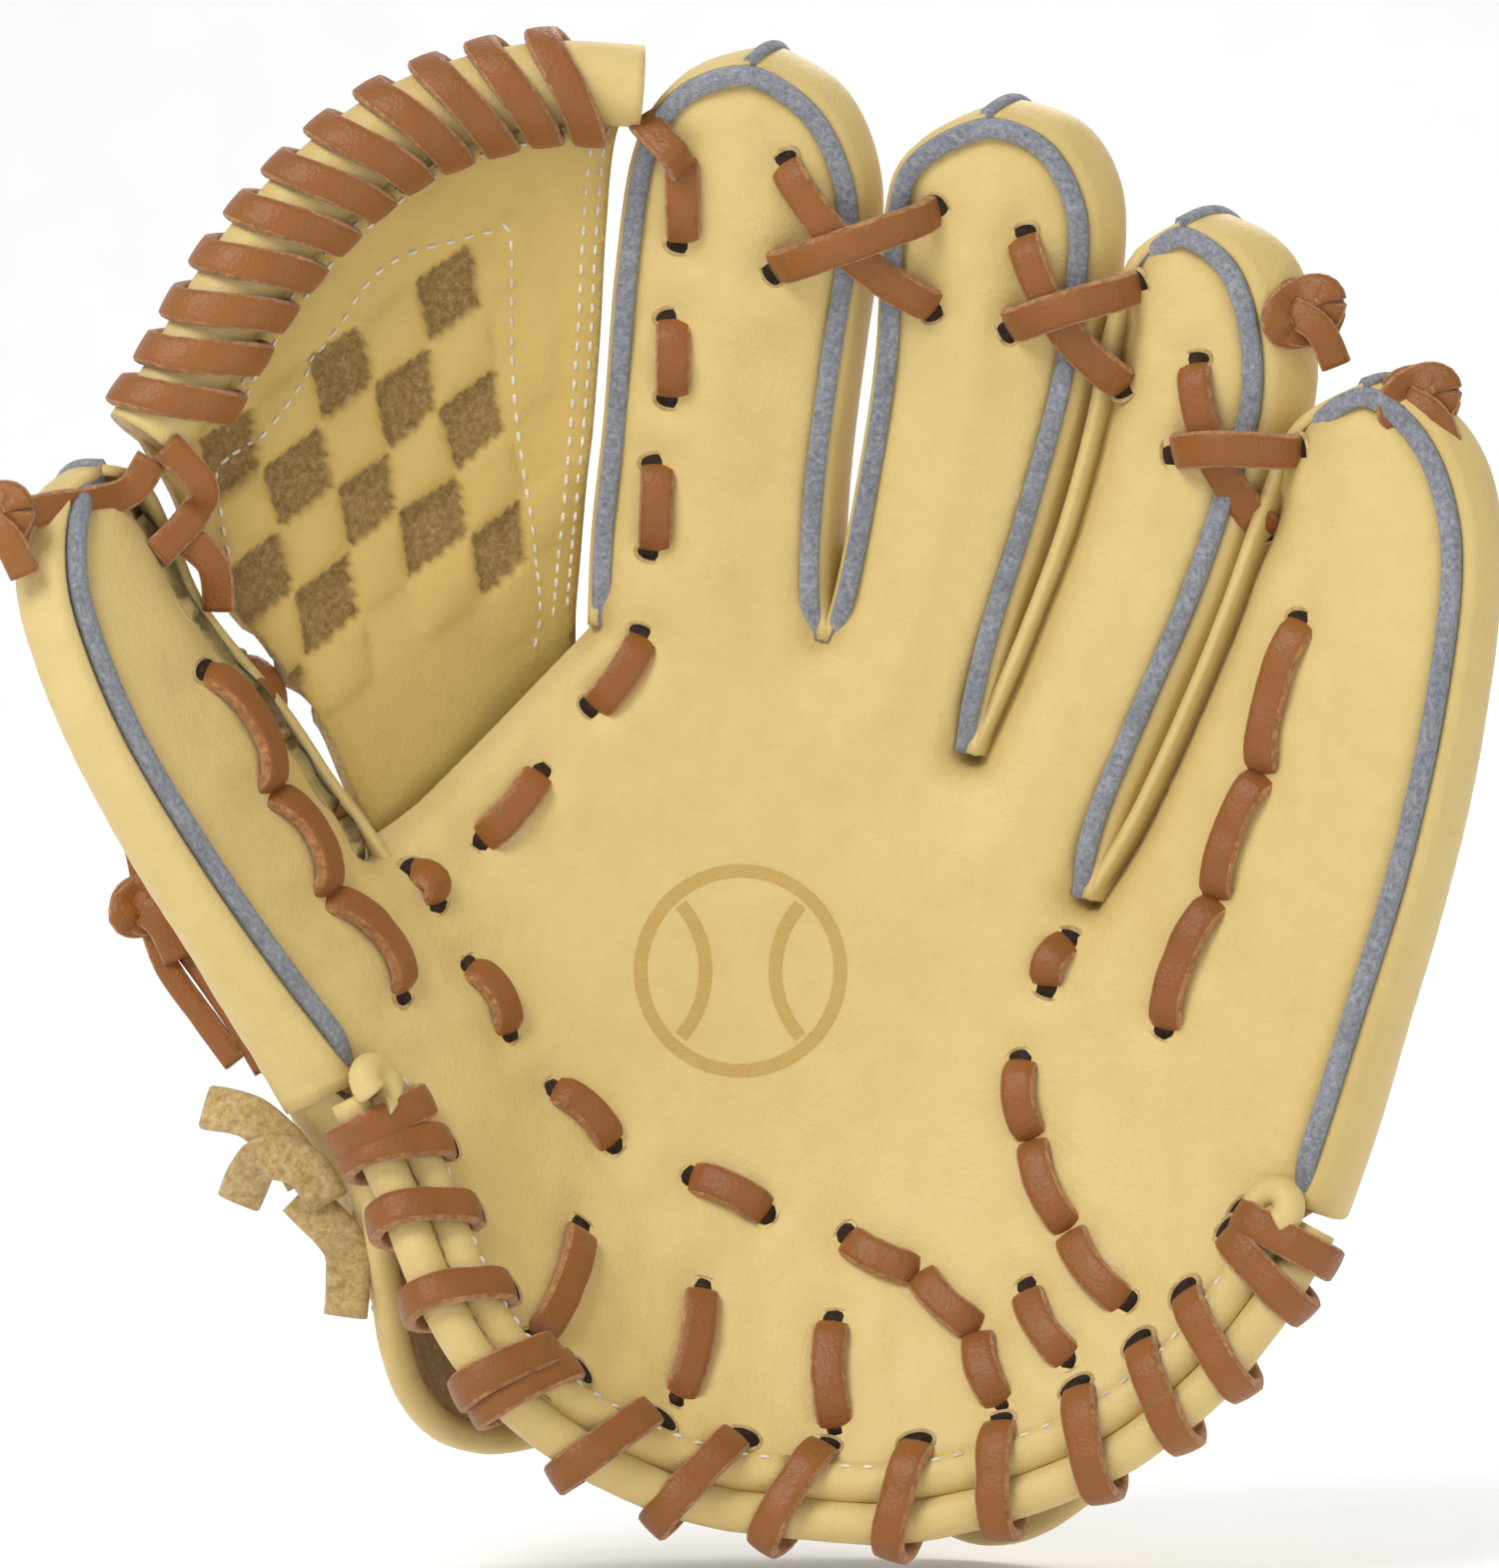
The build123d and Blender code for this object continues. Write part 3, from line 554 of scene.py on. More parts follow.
def triangulate(loops, extra_edges, step, keep_gap=0.8):
    """Fills closed front-view loops with an even grid of triangles."""
    verts, edges = [], []
    for loop in loops:
        base = len(verts)
        verts += [Vector(p[:2]) for p in loop]
        edges += [(base + i, base + (i + 1) % len(loop)) for i in range(len(loop))]
    border = tree(verts)
    for line in extra_edges:
        base = len(verts)
        verts += [Vector(p[:2]) for p in line]
        edges += [(base + i, base + i + 1) for i in range(len(line) - 1)]
    lines = tree(verts)
    xs, zs = [v.x for v in verts], [v.y for v in verts]
    row, z = 0, min(zs)
    while z < max(zs):
        x = min(xs) + (row % 2) * step / 2
        while x < max(xs):
            if lines.find((x, z, 0))[2] > step * keep_gap:
                verts.append(Vector((x, z)))
            x += step
        z += step * 0.866
        row += 1
    out_v, _, out_f, *_ = delaunay_2d_cdt(verts, edges, [], 1, 1e-4)
    return out_v, out_f


def sheet_piece(name, flat, tris, depth_of, surface, mats, thickness=2.2, attributes=None, edge_mat=1,
                normals=None):
    """A leather sheet with a front, a back and a cut edge."""
    front = [at(p[0], p[1], depth_of(p[0], p[1]), surface) for p in flat]
    if normals is None:
        normals = point_normals(front, tris)
    back = [p + n * thickness for p, n in zip(front, normals)]
    n = len(front)
    fronts = [tuple(t) for t in tris]
    a, b, c = (front[i] for i in fronts[0])
    if (b - a).cross(c - a).y > 0:
        fronts = [t[::-1] for t in fronts]
    faces = fronts + [tuple(i + n for i in t[::-1]) for t in fronts]
    mat = [0] * len(faces)
    count = {}
    for t in fronts:
        for i in range(3):
            e = (t[i], t[(i + 1) % 3])
            count[e] = count.get(e, 0) + 1
    for (i, j) in list(count):
        if (j, i) not in count:
            faces.append((j, i, i + n, j + n))
            mat.append(edge_mat)
    for key in list(attributes or {}):
        attributes[key] = list(attributes[key]) * 2
    return make(name, front + back, faces, mats, mat, attributes)


def point_normals(pts, tris):
    """Unit normals pointing to the back of the glove."""
    co = np.array([tuple(p) for p in pts])
    t = np.array([tuple(f) for f in tris])
    fn = np.cross(co[t[:, 1]] - co[t[:, 0]], co[t[:, 2]] - co[t[:, 0]])
    fn[fn[:, 1] < 0] *= -1
    out = np.zeros_like(co)
    for k in range(3):
        np.add.at(out, t[:, k], fn)
    out /= np.maximum(1e-12, np.linalg.norm(out, axis=1))[:, None]
    return [Vector(v) for v in out]


def build_face():
    outline = []
    for part in (INDEX_L, INDEX_R, MIDDLE_L, MIDDLE_R, RING_L, RING_R, PINKY_L, PINKY_R, HEEL, THUMB_L,
                 THUMB_R, PALM_WEB):
        outline += through(part, 1.5)[:-1]
    # the heel point nearest the split ends the split line exactly on the outline
    split = through(SPLIT, 1.5)
    split[0] = min(outline, key=lambda p: (p - split[0]).length)
    split[-1] = min(outline, key=lambda p: (p - split[-1]).length)
    flat, tris = triangulate([outline], [split], 1.8)
    relief = [leather_relief(p[0], p[1], TREES) for p in flat]
    front = [at(p[0], p[1], r[0]) for p, r in zip(flat, relief)]
    normals = point_normals(front, tris)

    def left(p):
        z = p[1]
        x = mix(9.0, 13.5, (z - 110) / 43.9) if z > 110 else mix(8.2, 9.0, (z - 12.9) / 97.1)
        return p[0] < x

    for side, child, nodes in ((True, "thumb", ("palm_leather", "thumb_leather")),
                               (False, "pinky", ("pinky_leather",))):
        tri = [t for t in tris if left(sum((flat[i] for i in t), Vector((0, 0))) / 3) == side]
        used = used_points(tri)
        pts, tri = compact(flat, tri)
        norm = [normals[i] for i in used]
        # edge: painted shade and dirt, strongest next to the welts, the heel and the web seam
        edge = [0.55 * (1 - smooth(0.5, 5.0, relief[i][1])) for i in used]
        obj = sheet_piece(f"palm_face_{child}_half", pts, tri, lambda x,
                          z: leather_relief(x, z, TREES)[0], forward,
                          [BLONDE, LEATHER_EDGE], attributes={"edge": edge}, normals=norm)
        custom = [-n for n in norm] + list(norm)
        obj.data.normals_split_custom_set_from_vertices([tuple(n) for n in custom])
        attach(obj, f"palm/{child}", *nodes)


build_face()


# ------------------------------------------------------------------ welts
def build_welt(name, line, body, nodes, inset=1.3):
    """Grey felt strip along a finger's edge."""
    flat = through(line, 1.4)
    path, ups = [], []
    for i, p in enumerate(flat):
        t = heading(flat, i)
        inward = Vector((t.y, -t.x))
        q = p + inward * inset
        end = min(i, len(flat) - 1 - i) * 1.4
        path.append(at(q.x, q.y, 3.4 + 3.0 * (1 - smooth(0, 9, end))))
        ups.append(-back_normal(q.x, q.y))
    b = Build()
    profile = [(-1.55, -1.3), (-1.6, 0.6), (-1.25, 1.05), (0, 1.25), (1.25, 1.05), (1.6, 0.6), (1.55, -1.3)]
    b.sweep(path, profile, ups)
    attach(b.object(name, [WELTING]), body, *nodes)


for name, (l, r) in welt_lines.items():
    body = "palm/pinky" if name == "pinky" else "palm"
    start = l if name in ("index", "middle") else l[-2:]
    build_welt(f"{name}_welt_strip", start + r[1:], body, (f"{name}_welt",))
build_welt("thumb_welt_strip", THUMB_L, "thumb", ("thumb_welt",))


# ------------------------------------------------------------------ finger backs
def centre_line(l, r, reach):
    """Mid line between two sides, stopping short of the tip."""
    left, right = through(l, 1.0), through(r, 1.0)[::-1]
    n = 40
    mids = []
    for i in range(n + 1):
        a, b = left[round(i / n * (len(left) - 1))], right[round(i / n * (len(right) - 1))]
        mids.append((a + b) / 2)
    tip = left[-1]
    return [m for m in mids if (m - tip).length > reach], tip


def back_shell(name, l, r, body, nodes, thick, reach, d0=4.6, lean=(0.0, 0.0), bulge=2.0):
    """A finger's back: two leather halves that meet in a seam, from one edge over to the other."""
    mids, tip = centre_line(l, r, reach)
    t_mid = kdtree.KDTree(len(mids))
    for i, m in enumerate(mids):
        t_mid.insert((m.x, m.y, 0), i)
    t_mid.balance()
    length = (mids[-1] - mids[0]).length
    halves = []
    for side in (l, r[::-1]):
        rows = []
        for p in through(side, 2.0):
            _, j, _ = t_mid.find((p.x, p.y, 0))
            m = mids[j]
            share = min(1.0, (m - mids[0]).length / length)
            full = mix(thick[0], thick[1], share)
            out = p - m
            half = out.length
            out.normalize()
            row = []
            for k in range(15):
                phi = math.pi / 2 * k / 14
                s = 1 - math.cos(phi) ** 0.9 if k < 14 else 1.0
                deep = math.sin(phi) ** 0.85
                q = p - out * (s * half) + out * bulge * math.sin(2 * phi)
                q = q + Vector(lean) * deep
                wob = 0.5 * noise.noise(Vector((q.x, 30, q.y)) * 0.06)
                crease_in = 0.9 * math.exp(-((k - 14) / 1.3) ** 2)
                depth = d0 + full * deep - crease_in + wob * deep
                row.append(at(q.x, q.y, depth))
            rows.append(row)
        halves.append(rows)
    for rows, label in zip(halves, ("left", "right")):
        b = Build()
        b.grid(rows)
        obj = b.object(f"{name}_{label}", [BLONDE, LEATHER_EDGE])
        mod = obj.modifiers.new("thick", "SOLIDIFY")
        mod.thickness, mod.offset = 0.0018, 0
        bake(obj)
        attach(obj, body, *nodes[label])
    return halves


def bake(obj):
    """Applies an object's modifiers to its mesh."""
    deps = bpy.context.evaluated_depsgraph_get()
    mesh = bpy.data.meshes.new_from_object(obj.evaluated_get(deps))
    obj.modifiers.clear()
    obj.data = mesh


def seam_welt(name, halves, body, nodes, rise=0.5):
    """Grey strip up the middle of a finger's back, ending over the tip in a short foot."""
    rows = halves[0]
    path = [row[-1] for row in rows]
    keep = [path[0]]
    for p in path[1:]:
        if (p - keep[-1]).length > 1.2:
            keep.append(p)
    tip_row = rows[-1]
    keep += tip_row[::-1][1:]
    clean = resample(keep, 1.6)
    ups = []
    for i, p in enumerate(clean):
        t = heading(clean, i)
        up = Vector((0.0, 0.75, 0.65)) if i > len(clean) - 12 else Vector((0, 1, 0.2))
        ups.append((up - t * up.dot(t)).normalized())
    b = Build()
    b.sweep([p + u * rise for p, u in zip(clean, ups)],
            [(-1.4, -1.2), (-1.4, 0.5), (-0.9, 0.9), (0.9, 0.9), (1.4, 0.5), (1.4, -1.2)], ups)
    attach(b.object(name, [WELTING]), body, *nodes)


FINGERS = {
    "index": (INDEX_L, INDEX_R, "palm", (23.0, 15.0), 15.0, (7.0, 0.0)),
    "middle": (MIDDLE_L, MIDDLE_R, "palm", (23.0, 15.0), 13.5, (7.5, 0.0)),
    "ring": (RING_L, RING_R, "palm", (23.0, 15.0), 12.0, (7.0, 0.0)),
}
for name, (l, r, body, thick, reach, lean) in FINGERS.items():
    nodes = {"left": (f"{name}_back_thumb_side", f"{name}_lining"), "right": (f"{name}_back_pinky_side",)}
    halves = back_shell(f"{name}_back", l, r, body, nodes, thick, reach, lean=lean)
    seam_welt(f"{name}_seam_welt_strip", halves, body, (f"{name}_seam_welt",))
halves = back_shell("pinky_back", PINKY_L, PINKY_R, "palm/pinky",
                    {"left": ("pinky_back_thumb_side", "pinky_lining"), "right": ("pinky_back_outer",)},
                          (24.0, 15.0), 15.0, lean=(3.5, 0))
seam_welt("pinky_seam_welt_strip", halves, "palm/pinky", ("pinky_seam_welt",))
THUMB_INNER = [(-44.0, 78.0), (-49.0, 105.0)] + THUMB_R[::-1]
halves = back_shell("thumb_back", THUMB_L, THUMB_INNER[::-1], "thumb",
                    {"left": ("thumb_back_outer", "thumb_lining"), "right": ("thumb_back_web_side",)},
                          (19.0, 12.0), 11.0, d0=4.2, bulge=2.5)
seam_welt("thumb_seam_welt_strip", halves, "thumb", ("thumb_seam_welt",))


# ------------------------------------------------------------------ laces on the catching face
def surface_run(a, b, lift=1.5, dive=3.0, bow=0.0, step=1.1):
    """A stitch from hole a to hole b: it rises out of one, lies on the leather and dives into the other."""
    a, b = Vector(a), Vector(b)
    d = b - a
    side = Vector((d.y, -d.x)).normalized()
    n = max(8, round(d.length / step))
    pts, ups = [], []
    for i in range(n + 1):
        t = i / n
        q = a + d * t + side * bow * math.sin(math.pi * t)
        k = min(t, 1 - t) * d.length
        h = lift - (lift + dive) * (1 - smooth(-0.6, 2.6, k))
        pts.append(face_point(q.x, q.y, h))
        ups.append(-back_normal(q.x, q.y))
    return pts, ups


def hole(build, x, z, direction, width=5.6, length=3.0):
    """A punched slot: a raised soft rim round a dark floor, which is painted shade inside the hole."""
    n = -back_normal(x, z)
    d = Vector(direction).normalized()
    ahead = (face_point(x + d.x, z + d.y) - face_point(x - d.x, z - d.y)).normalized()
    side = ahead.cross(n).normalized()
    c = face_point(x, z, 0.15)
    ring = lambda r, h: [c
                         + (side * math.cos(a) * (width / 2 + r) + ahead * math.sin(a)
                            * (length / 2 + r)) + n * h
                         for a in (2 * math.pi * i / 20 for i in range(20))]
    build.grid([ring(1.0, -0.35), ring(0.75, 0.12), ring(0.45, 0.28), ring(0.15, 0.1)], closed=True, mat=0)
    # the floor: a flat dark sheet, painted shade in the hole
    build.grid([ring(0.15, 0.1), ring(-0.25, -0.1), ring(-1.0, -0.2), ring(-1.45, -0.2)], closed=True,
               mat=1, caps=True, cap_mat=1)


def chain_piece(name, chains, body, nodes=(), bow=0.0, width=5.8, seed=1.0):
    b, h = Build(), Build()
    for c, chain in enumerate(chains):
        for i, (p, q) in enumerate(zip(chain, chain[1:])):
            pts, ups = surface_run(p, q, bow=bow)
            lace(b, pts, ups, width=width, seed=seed + c * 3.7 + i)
        ends = [(chain[0], chain[1]), (chain[-1], chain[-2])]
        for e, nxt in ends:
            hole(h, e[0], e[1], (nxt[0] - e[0], nxt[1] - e[1]))
    attach(b.object(name, [LACE, LACE_EDGE]), body, *nodes)
    attach(h.object(name + "_holes", [LEATHER_EDGE, HOLE_SHADE]), body)


chain_piece("index_edge_lace", STITCH_CHAINS["index_edge"], "palm", ("index_web_lace",))
chain_piece("palm_left_lace", STITCH_CHAINS["palm_left"], "palm/thumb", ("palm_lace",), bow=-0.6)
chain_piece("palm_right_lace", STITCH_CHAINS["palm_right"], "palm/pinky", (), bow=1.0)
chain_piece("thumb_chain_lace", STITCH_CHAINS["thumb_chain"], "palm/thumb", ("thumb_loop_lace",), bow=-1.5)
chain_piece("pinky_chain_lace", STITCH_CHAINS["pinky_chain"], "palm/pinky", ("pinky_loop_lace",), bow=1.2)


# ------------------------------------------------------------------ crossed laces between the fingers
def bridge(a, b, rise, step=1.1, dive=3.2, bow=0.0):
    """A strand over the gap between two fingers, from hole to hole."""
    pa, pb = face_point(*a), face_point(*b)
    na, nb = -back_normal(*a), -back_normal(*b)
    d = pb - pa
    side = d.normalized().cross((na + nb).normalized())
    n = max(10, round(d.length / step))
    pts, ups = [], []
    for i in range(n + 1):
        t = i / n
        up = na.lerp(nb, t).normalized()
        k = min(t, 1 - t) * d.length
        h = 1.5 + rise * math.sin(math.pi * t) - (1.5 + dive) * (1 - smooth(-0.6, 2.8, k))
        pts.append(pa.lerp(pb, t) + up * h + side * bow * math.sin(math.pi * t))
        ups.append(up)
    return pts, ups


def cross_piece(name, under, over, body, nodes=()):
    """Two crossed strands between neighbouring fingers."""
    b, h = Build(), Build()
    for (p, q, bow), rise in ((under, 3.6), (over, 6.4)):
        pts, ups = bridge(p, q, rise, bow=bow)
        lace(b, pts, ups, width=6.0, seed=rise)
        for e, o in ((p, q), (q, p)):
            hole(h, e[0], e[1], (o[0] - e[0], o[1] - e[1]))
    attach(b.object(name, [LACE, LACE_EDGE]), body, *nodes)
    attach(h.object(name + "_holes", [LEATHER_EDGE, HOLE_SHADE]), body)


cross_piece("index_middle_cross_lace", *CROSSES["index_middle"], "palm", ("finger_cross_lace",))
cross_piece("middle_ring_cross_lace", *CROSSES["middle_ring"], "palm")
cross_piece("ring_pinky_cross_lace", *CROSSES["ring_pinky"], "palm/pinky")


# ------------------------------------------------------------------ heel: two rolls and a lace round them
HEEL_PATH = through(HEEL[::-1], 2.0)


def heel_frame(i):
    """Front-view place, tangent and inward direction along the heel."""
    p = HEEL_PATH[i]
    t = heading(HEEL_PATH, i)
    return p, t, Vector((-t.y, t.x))


def heel_axes(i):
    """Centre of the palm's roll, unit tangent, inward direction on the face and back normal."""
    def place(k):
        p, _, inn = heel_frame(min(max(k, 0), len(HEEL_PATH) - 1))
        q = p + inn * 2.0
        return at(q.x, q.y, 2.4), q
    centre, q = place(i)
    t = (place(i + 1)[0] - place(i - 1)[0]).normalized()
    n = back_normal(q.x, q.y)
    n = (n - t * n.dot(t)).normalized()
    return centre, t, n.cross(t).normalized() * (1 if n.cross(t).z > 0 else -1), n


def heel_point(i, inward, deep, along=0.0):
    centre, t, inn, n = heel_axes(i)
    if inn.dot(at(*(heel_frame(i)[0] + heel_frame(i)[2])) - at(*heel_frame(i)[0])) < 0:
        inn = -inn
    return centre + inn * inward + n * deep + t * along


ROLL_RADIUS = 3.6
ROLLS = ((0.0, 0.0), (-6.3, 2.6))  # inward and deep from the first roll's centre


def heel_rolls(name, lo, hi, body, nodes):
    """A stretch of both heel rolls and the thread along the first."""
    b, runs, ups2 = Build(), [], []
    for inward, deep in ROLLS:
        path = [heel_point(i, inward, deep) for i in range(lo, hi)]
        ups = [-heel_axes(i)[3] for i in range(lo, hi)]
        path = [p + Vector((0, 0, 0.3 * noise.noise(p * 0.15))) for p in path]
        b.sweep(path, round_profile(ROLL_RADIUS, 22), ups, cap_mat=1)
        if inward == 0:
            runs.append([heel_point(i, inward + 1.3, deep - ROLL_RADIUS * 0.95) for i in range(lo, hi)])
            ups2.append(ups)
    attach(b.object(name, [BLONDE, LEATHER_EDGE]), body, *nodes)
    attach(stitches(name + "_thread", runs, ups2), body)


half = min(range(len(HEEL_PATH)), key=lambda i: abs(HEEL_PATH[i].x - 8.2))
heel_rolls("heel_rolls_thumb_half", 1, half + 1, "palm/thumb",
           ("palm_heel_roll", "thumb_heel_roll", "thumb_lining_roll"))
heel_rolls("heel_rolls_pinky_half", half, len(HEEL_PATH) - 1, "palm/pinky",
           ("pinky_heel_roll", "palm_lining_roll", "pinky_lining_roll"))


LACE_TURN = [(5.4, 3.0), (5.2, 0.4), (4.4, -3.0), (2.2, -4.7), (-0.6, -5.1), (-4.2, -3.9), (-8.2, -2.5),
             (-11.2, 0.8), (-11.0, 5.0), (-8.0, 8.2), (-3.0, 8.4), (2.0, 6.6)]  # inward and deep


def heel_index(x):
    """The place on the heel path nearest to x, or to a height when x is under -50."""
    if x > -50:
        return min(range(len(HEEL_PATH)), key=lambda k: abs(HEEL_PATH[k].x - x))
    return min(range(len(HEEL_PATH)),
               key=lambda k: abs(HEEL_PATH[k].y + x + 50) + (HEEL_PATH[k].x > 0) * 99)


def heel_wraps(name, places, body, nodes):
    """Turns of lace: out of a hole in the palm leather, over both rolls and back in behind."""
    b, h = Build(), Build()
    for x, lean in places:
        i = heel_index(x)
        pts = [heel_point(i, u, v, lean * (u + 2) / 10) for u, v in LACE_TURN]
        path = through(pts, 1.0)
        centre = heel_point(i, -3.0, 1.2)
        ups = [(p - centre).normalized() for p in path]
        lace(b, path, ups, width=5.9, thick=1.9, seed=x)
        p, t, inn = heel_frame(i)
        stretch = (at(*(p + inn * 3)) - at(*p)).length / 3
        q = p + inn * (2.0 + 5.6 / stretch) + t * lean * 0.7
        hole(h, q.x, q.y, (inn.x, inn.y))
    attach(b.object(name, [LACE, LACE_EDGE]), body, *nodes)
    attach(h.object(name + "_holes", [LEATHER_EDGE, HOLE_SHADE]), body)


# x along the heel; values under -50 name a height on the steep thumb side instead
heel_wraps("heel_lace_thumb_half",
           [(-125, 0), (-120, 3), (-108, 2), (-96, 3), (-84.5, 5), (-33.5, 6), (-20.0, 8), (-6.0, 7)],
           "palm/thumb",
           ("palm_heel_lace", "thumb_heel_lace"))
heel_wraps("heel_lace_pinky_half",
           [(9.5, 5), (26.5, 4), (43.5, 3), (57.5, 3), (69.5, 3), (78.0, 4), (85.0, 3), (88.0, 0)],
           "palm/pinky", ("pinky_heel_lace",))

# ------------------------------------------------------------------ the web
RIM = through([(-98.5, 187.0), (-92.0, 197.0), (-84.5, 210.5), (-77.0, 221.0), (-66.5, 232.0),
               (-56.0, 239.6), (-43.5, 244.6), (-31.0, 246.9), (-16.5, 246.3)], 1.5)
WEB_EDGE = [(-16.5, 246.3), (-20.8, 238.0), (-22.6, 222.0), (-23.6, 205.0), (-25.2, 185.0),
            (-26.6, 168.0), (-27.6, 158.0), (-27.8, 150.0)]
WEB_BOTTOM = [(-27.8, 150.0), (-35.5, 135.0), (-46.5, 122.5), (-56.0, 113.0)]
WEB_THUMB = [(-56.0, 113.0), (-63.5, 126.0), (-69.0, 139.0), (-79.5, 153.5), (-87.8, 165.0),
             (-93.0, 177.0), (-98.5, 187.0)]
WEAVE_ORIGIN, WEAVE_ACROSS, WEAVE_UP = (-62.3, 177.0), (8.9, 6.9), (-2.1, 10.6)
BARE_CELLS = {(0, 0), (1, -1), (2, -2), (-1, 1), (-2, 2), (1, 1), (2, 0), (0, 2), (2, 2), (-1, -1),
              (-2, 0), (-2, -2)}


def web_cell(x, z):
    (px, pz), (qx, qz) = WEAVE_ACROSS, WEAVE_UP
    dx, dz = x - WEAVE_ORIGIN[0], z - WEAVE_ORIGIN[1]
    det = px * qz - qx * pz
    return (dx * qz - qx * dz) / det + 0.5, (px * dz - pz * dx) / det + 0.5


def web_detail(x, z):
    """(height of the pillows, how much it is bare suede) at a place on the web."""
    warp = Vector((noise.noise(Vector((x, 1, z)) * 0.08), noise.noise(Vector((x, 7, z)) * 0.08)))
    u, v = web_cell(x + 1.2 * warp.x, z + 1.2 * warp.y)
    iu, iv = math.floor(u), math.floor(v)
    fu, fv = u - iu, v - iv
    border = min(fu, 1 - fu, fv, 1 - fv) * 10
    if (iu, iv) in BARE_CELLS:
        nap = 0.35 * noise.noise(Vector((x, 5, z)) * 1.6) + 0.25 * noise.noise(Vector((x, 8, z)) * 0.7)
        ragged = 0.35 * noise.noise(Vector((x, 2, z)) * 1.1)
        return (-1.1 + nap) * smooth(0.0, 0.7, border), smooth(0.05, 0.45, border + ragged)
    touching = sum((iu + i, iv + j) in BARE_CELLS for i, j in ((1, 0), (-1, 0), (0, 1), (0, -1)))
    crown = (math.sin(math.pi * fu) * math.sin(math.pi * fv)) ** 0.45
    return 0.75 * min(2, touching) * crown, 0.0


def web_depth(x, z):
    v = Vector((x, 9, z))
    return 1.5 - web_detail(x, z)[0] + 0.6 * noise.noise(v * 0.03)


def web_point(x, z, lift=0.0):
    return at(x, z, web_depth(x, z) - lift, web_forward)


def build_web():
    """The web's panel and its stitching."""
    outline = RIM[:-1] + through(WEB_EDGE, 1.5)[:-1] + through(WEB_BOTTOM, 1.5)[:-1] + through(WEB_THUMB,
                                                                                               1.5)[:-1]
    flat, tris = triangulate([outline], [], 1.0)
    suede = [web_detail(p[0], p[1])[1] for p in flat]
    border = tree(outline)
    # edge: painted shade and dirt along the web panel's outline
    edge = [0.4 * (1 - smooth(0.5, 4, border.find((p[0], p[1], 0))[2])) for p in flat]
    obj = sheet_piece("web_panel", flat, tris, web_depth, web_forward, [WEB_LEATHER_SHADED, LEATHER_EDGE],
                      thickness=3.0, attributes={"suede": suede, "edge": edge})
    attach(obj, "web", "web_front_panel", "web_back_panel")
    lines = []
    for shift in (-1.6, -3.8):
        lines.append([(x + shift, z) for x, z in WEB_EDGE[:-1]])
    lines.append([(-24.5, 239.5), (-36.0, 238.6), (-48.5, 234.5), (-60.0, 226.5), (-70.0, 216.5),
                  (-78.0, 205.0), (-85.0, 192.0)])
    lines.append([(-83.5, 163.5), (-86.0, 172.0), (-86.0, 182.0), (-80.4, 187.0), (-74.2, 195.5),
                  (-66.1, 207.4), (-60.5, 214.9), (-54.2, 218.9), (-46.7, 221.1),
                  (-40.5, 222.5), (-38.6, 220.9), (-38.3, 198.5), (-36.5, 182.9), (-34.9, 172.3),
                  (-33.6, 160.2), (-34.9, 151.1)])
    lines.append([(-24.5, 237.6), (-36.0, 236.7), (-48.0, 232.7), (-59.0, 225.0), (-69.0, 215.0),
                  (-77.0, 203.5), (-84.0, 190.5)])
    runs = [[web_point(p.x, p.y) for p in through(line, 0.8)] for line in lines]
    ups = [[-back_normal(p.x, p.y, web_forward) for p in through(line, 0.8)] for line in lines]
    attach(stitches("web_thread", runs, ups), "web")


build_web()


RIM_RADIUS, RIM_TURNS = 7.0, 11


def build_rim():
    """The thick roll along the web's top, with a lace wound round it."""
    b = Build()
    path = [at(p.x, p.y, 1.0, web_forward) for p in RIM]
    ups = [-back_normal(p.x, p.y, web_forward) for p in RIM]
    wob = [p + u * 0.3 * noise.noise(p * 0.08) for p, u in zip(path, ups)]
    b.sweep(wob, round_profile(RIM_RADIUS, 28, 0.92), ups, cap_mat=1)
    attach(b.object("web_rim", [BLONDE, LEATHER_EDGE]), "web", "web_rim_roll")
    w = Build()
    n = len(path)
    for k in range(RIM_TURNS):
        pts, normals = [], []
        centre_s = 5.5 + (n - 1 - 13.5) * k / (RIM_TURNS - 1)
        for i in range(37):
            a = 2 * math.pi * i / 36
            slant = 2.8 * math.cos(a)
            s = min(n - 1.001, max(0, centre_s + slant))
            j, f = int(s), s - int(s)
            c = path[j].lerp(path[j + 1], f)
            t = (path[j + 1] - path[j]).normalized()
            up = ups[j]
            side = t.cross(up).normalized()
            radial = side * math.cos(a) + up * math.sin(a)
            pts.append(c + radial * (RIM_RADIUS + 1.2 + 1.6 * max(0.0, math.cos(a))))
            normals.append(radial)
        lace(w, pts, normals, width=5.9, thick=1.9, seed=k)
    attach(w.object("web_rim_spiral_lace", [LACE, LACE_EDGE]), "web", "web_rim_lace")


build_rim()

# ------------------------------------------------------------------ inner layers
def inner_layer(name, loop, depth, thickness, mat, body, node_name):
    """A flat inner layer under the leather: felt, plastic or lining."""
    flat, tris = triangulate([loop], [], 3.0)
    obj = sheet_piece(name, flat, tris, lambda x, z: depth, forward, [mat, mat], thickness=thickness)
    attach(obj, body, node_name)


def finger_core(l, r, reach, inset):
    """A finger's outline pulled in towards its centre line."""
    mids, _ = centre_line(l, r, reach)
    t = tree(mids)
    loop = []
    for p in through(l, 2.0) + through(r, 2.0)[1:-1]:
        m = mids[t.find((p.x, p.y, 0))[1]]
        half = max(1e-6, (p - m).length)
        q = m + (p - m) * max(0.15, (half - inset) / half)
        if not loop or (q - loop[-1]).length > 0.8:
            loop.append(q)
    return loop


